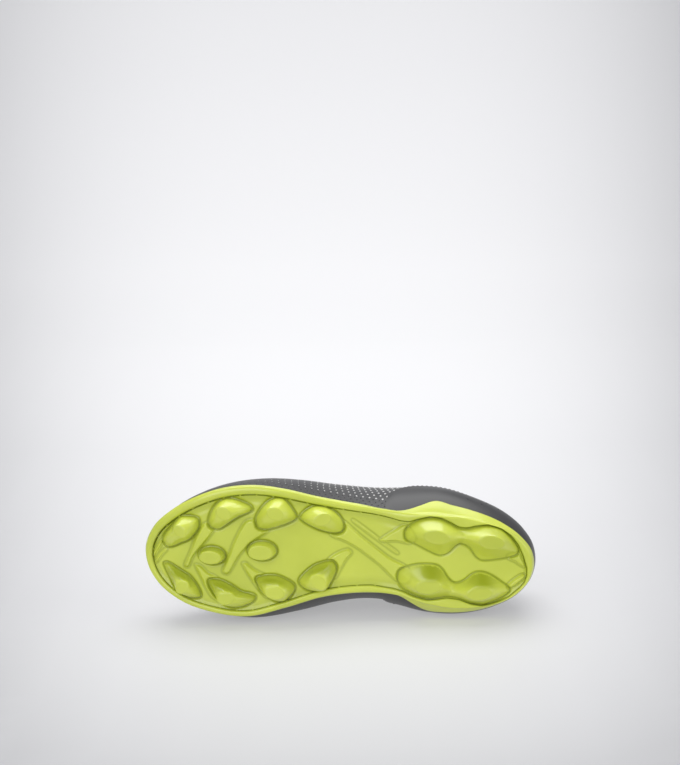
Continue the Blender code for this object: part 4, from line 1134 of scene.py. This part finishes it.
def discs(name, spots, material, dome=0.3):
    """Low domed dots: (place, up, half width, half height, lift)."""
    shell = Shell(72)
    points, faces = [], []
    turns = turns_of(4)
    for k, (place, up, half_w, half_h, lift) in enumerate(spots):
        point, normal, side, climb = frame_at(shell, place, up, lift)
        ring = oval(turns, side, climb, half_w, half_h)
        for size, rise in ((1.0, -0.0003), (1.0, 0.0), (0.6, dome * half_w)):
            points.append(point + ring * size + normal * rise)
        points.append((point + normal * dome * half_w * 1.3)[None])
        faces += ring_loft(3, len(turns), k * (3 * len(turns) + 1))
    return piece(name, np.concatenate(points), faces, [material])


# Section of an eyelet, in millimetres: radius, rise. From the sixth ring on it is near-black, painted shade
# inside the hole
EYELET_SIDE = (
    (2.9, -0.2), (2.9, 0.12), (2.6, 0.36), (2.2, 0.42), (1.9, 0.30), (1.75, 0.0), (1.7, -0.3), (0.4, -0.32)
)


def eyelets():
    """Round eyelets in the eyestay: a ring and a hole painted near-black for its shade."""
    shell = Shell(72)
    points, faces, which = [], [], []
    turns = turns_of(24)
    for k, place in enumerate([*EYELETS, *(1 - EYELETS)]):
        point, normal, side, climb = frame_at(shell, place, EYELET_LINE, GAP + EYESTAY_WALL)
        ring = oval(turns, side, climb, 0.001, 0.001)
        points += [point + ring * radius + normal * rise / 1000 for radius, rise in EYELET_SIDE]
        start = k * len(EYELET_SIDE) * len(turns)
        faces += grid_faces(len(EYELET_SIDE), len(turns), closed_columns=True, start=start)
        which += [0] * 5 * len(turns) + [1] * (len(EYELET_SIDE) - 6) * len(turns)
    return piece("eyelet_rings", points, faces, [PANEL, HOLE_SHADE], which=which)


eyelets()

STITCH = 0.0022           # length of a stitch
STITCH_PITCH = 0.0034
STITCH_HALF = 0.00028     # half its width


def stitches(lines):
    """Raised stitches along lines of surface points with their normals."""
    points, faces, start = [], [], 0
    for line, normals in lines:
        run = run_along(line)
        for k in range(int(run[-1] / STITCH_PITCH)):
            ends = k * STITCH_PITCH + STITCH * np.array((0, 0.5, 1))
            row, up = on_line(ends, run, line), unit(on_line(ends, run, normals))
            side = np.cross(up, unit(row[2] - row[0]))
            for middle, out, across, rise, wide in zip(row, up, side, (0, 1, 0), (0.5, 1, 0.5)):
                foot = middle - out * STITCH_HALF * 0.6
                half = across * STITCH_HALF * wide
                points += [foot - half, middle + out * STITCH_HALF * (0.2 + rise), foot + half]
            for a in (start, start + 3):
                faces += [(a, a + 3, a + 4, a + 1), (a + 1, a + 4, a + 5, a + 2)]
            start += 9
    return piece("stitching", points, faces, [THREAD])


def line_on(shell, places, ups, lift):
    """Points and normals along a line given by its round shares and shares up."""
    spots = list(zip(places, np.round(ups, 6)))
    points = np.array([shell.at(*spot, lift) for spot in spots])
    return points, np.array([shell.at(*spot, lift + 0.001) for spot in spots]) - points


def all_stitches():
    """Two lines on the eyestay, one on the heel panel and one under the collar's edge."""
    shell = Shell(72)
    throat = np.linspace(THROAT_START + 0.006, 1 - THROAT_START - 0.006, 120)
    heel = np.linspace(COUNTER[0][0] + 0.012, COUNTER[-1][0] - 0.012, 60)
    collar = np.linspace(-THROAT_START + 0.004, THROAT_START - 0.004, 90)
    return stitches([
        line_on(shell, throat, np.full(120, EYESTAY_START + 0.014), GAP + EYESTAY_WALL + 0.0002),
        line_on(shell, throat, np.full(120, 0.984), GAP + EYESTAY_WALL + 0.0002),
        line_on(shell, heel, smooth(COUNTER, heel)[:, 0] - 0.022, HUG + COUNTER_WALL + 0.0001),
        line_on(shell, collar, np.full(90, 0.955), 0.0002),
    ])


all_stitches()


# Rows of dots on the lateral side: rows, dots a row, first place and up, steps round and up
SILVER_DOTS = (8, 28, 0.160, 0.135, 0.0076, 0.046)
PUNCHED_DOTS = (3, 30, 0.158, 0.052, 0.0072, 0.030)
# Pinholes on the heel panel: along in millimetres, up
PINHOLES = ((58, 0.30), (48, 0.27), (45, 0.40), (36, 0.32))


def dot_spots(rows, dots, first, low, step, rise):
    """Row, number, place and up of each dot: every second row is set off by half a step."""
    for row in range(rows):
        for k in range(dots):
            yield row, k, first + k * step + (row % 2) * step / 2, low + row * rise


def dot_rows():
    """Slanting rows of silver dots, larger towards the shank, over rows of punched ones painted near-black
    for the shade in the holes.
    """
    silver, black = [], []
    for row, _, place, up in dot_spots(*SILVER_DOTS):
        if place > 0.345 - 0.010 * row or up > 0.62 - 0.9 * (place - 0.16):
            continue
        near = np.clip((0.345 - place) / 0.17, 0, 1)
        size = 0.00024 + 0.00066 * near
        silver.append((place, up, size * 1.15, size * (0.9 + 0.5 * near), 0.00008))
    for _, k, place, up in dot_spots(*PUNCHED_DOTS):
        size = 0.00075 - 0.00040 * k / 29
        black.append((place, up, size, size * 1.1, 0.00006))
    for along, up in PINHOLES:
        black.append((0.009 + along / 1000 / LENGTH * 0.47, up, 0.0009, 0.0006, HUG + COUNTER_WALL + 0.00005))
    discs("silver_dots", silver, SILVER)
    discs("pinholes", black, HOLE_SHADE, dome=0.05)


dot_rows()


PIPING_RADIUS = 0.0007


def piping():
    """Thin lime edge round the collar."""
    shell = Shell(72)
    places = np.linspace(-THROAT_START - 0.002, THROAT_START + 0.002, 150)
    path = np.array([shell.at(place, 1.0, -UPPER_WALL * 0.45) for place in places])
    way = unit(np.gradient(path, axis=0))
    up = np.array([shell.at(place, 1.0, 0.001) - shell.at(place, 1.0, 0.0) for place in places])
    side = unit(np.cross(way, up))
    rings = [
        point + oval(turns_of(8), across, out, PIPING_RADIUS, PIPING_RADIUS)
        for point, across, out in zip(path, side, np.cross(side, way))
    ]
    faces = grid_faces(len(path), 8, closed_columns=True)
    return piece("collar_piping", rings, faces, [PIPING])


piping()


# Stage: floor, lights, camera

# The paper's brightest spot, by slopes down and aside from a place before the shoe
PAPER_EYE = (0.0, -1.165, 0.41)
PAPER_MIDDLE = 0.238
PAPER_SIDE = 0.212
# Its brightness there, and what it loses far off, nearby and to the sides
PAPER_BEST, PAPER_FAR, PAPER_NEAR, PAPER_ASIDE = 0.89, 0.09, 0.15, 0.24
# Brightness that the lamps alone give it. Columns: slope down, brightness
PAPER_LIT = ((0.0, 0.29), (0.14, 0.30), (0.19, 0.36), (0.25, 0.46), (0.30, 0.50), (0.42, 0.53))
# Side view of the paper behind the shoe, where it turns up. Columns: key, back, up
PAPER_SWEEP = (
    (0.0, -1.6, 0.0), (0.3, 1.1, 0.0), (0.36, 1.45, 0.03), (0.42, 1.72, 0.14), (0.48, 1.9, 0.36),
    (0.56, 1.98, 0.7), (1.0, 2.0, 2.4),
)


def paper_glow(points):
    """Light that the paper gives back by itself, dimming to all sides like a soft studio sweep."""
    away = points - PAPER_EYE
    slope = -away[:, 2] / away[:, 1]
    side = np.minimum(np.abs(away[:, 0] / away[:, 1]) / PAPER_SIDE, 1.3)
    far = np.clip((PAPER_MIDDLE - slope) / 0.25, 0, 1.3)
    near = np.clip((slope - PAPER_MIDDLE) / 0.21, 0, 1.3)
    aside = (PAPER_ASIDE - 0.12 * near) * side**3
    wanted = PAPER_BEST - PAPER_FAR * far**2 - PAPER_NEAR * near**3 - aside
    lit = np.interp(slope, *np.array(PAPER_LIT).T)
    return np.where(away[:, 1] > 0.3, np.maximum(wanted - lit, 0.05), 0.3)


def stage():
    mesh = bpy.data.meshes.new("floor")
    sweep = smooth(PAPER_SWEEP, np.linspace(0.3, 1.0, 80))
    flat = np.column_stack([np.linspace(-1.6, 1.05, 90), np.zeros(90)])
    depth = np.concatenate([flat, sweep])
    across = np.linspace(-3.0, 3.0, 121)
    points = np.array([(x, y, max(z, 0.0)) for y, z in depth for x in across])
    mesh.from_pydata(points.tolist(), [], grid_faces(len(depth), len(across)))
    mesh.shade_smooth()
    mark_points(mesh, "glow", paper_glow(points))
    paper = Tree("paper_floor")
    glow = paper.mark("glow")
    colours = {"Base_Color": (0.40, 0.40, 0.405, 1), "Emission_Color": (1.0, 1.0, 1.01, 1)}
    mesh.materials.append(paper.finish(Roughness=0.6, Emission_Strength=glow, **colours))
    put("floor", mesh)


stage()

# Lamps: name, place, height of the spot over the origin that they face, size, power
LAMPS = (
    ("top_softbox", (0.0, 0.35, 1.3), 0.04, (1.4, 1.0), 14.0),
    ("front_softbox", (-0.5, -1.3, 0.75), 0.05, (1.2, 1.0), 9.8),
    ("side_fill", (1.3, -0.5, 0.6), 0.05, (0.9, 0.9), 3.5),
)
for name, place, aim, size, power in LAMPS:
    lamp = bpy.data.lights.new(name, "AREA")
    lamp.shape = "RECTANGLE"
    lamp.size, lamp.size_y = size
    lamp.energy = power
    made = put(name, lamp)
    made.location = place
    made.rotation_mode = "QUATERNION"
    made.rotation_quaternion = (Vector((0, 0, aim)) - Vector(place)).to_track_quat("-Z", "Y")

world = bpy.data.worlds.new("studio")
world.use_nodes = True
sky = world.node_tree.nodes["Background"].inputs
sky["Color"].default_value = (0.93, 0.94, 1.0, 1)
sky["Strength"].default_value = 0.55
bpy.context.scene.world = world
bpy.context.scene.view_settings.view_transform = "Standard"

# Camera, fitted to the sole's outline in the photograph, in the shoe's own frame
FRAME = (680, 765)
CAMERA_PLACE = (0.167049, 0.273723, -1.132706)
CAMERA_RIGHT = (-0.999378, 0.032395, -0.013905)
CAMERA_UP = (0.028443, 0.973983, 0.224828)
FOCAL = 1636.1
CENTRE = (341.3, 547.0)


def camera():
    data = bpy.data.cameras.new("camera")
    data.sensor_fit = "AUTO"
    data.sensor_width = 36.0
    data.lens = FOCAL / max(FRAME) * data.sensor_width
    made = put("camera", data)
    right, up = (Vector((TURN @ np.array(way)).tolist()) for way in (CAMERA_RIGHT, CAMERA_UP))
    turn = Matrix((right, up, right.cross(up))).transposed().to_4x4()
    made.matrix_world = Matrix.Translation(to_row(np.array(CAMERA_PLACE)).tolist()) @ turn
    data.shift_x = (FRAME[0] / 2 - CENTRE[0]) / max(FRAME)
    data.shift_y = (CENTRE[1] - FRAME[1] / 2) / max(FRAME)
    data.clip_start, data.clip_end = 0.05, 20.0
    bpy.context.scene.camera = made


camera()
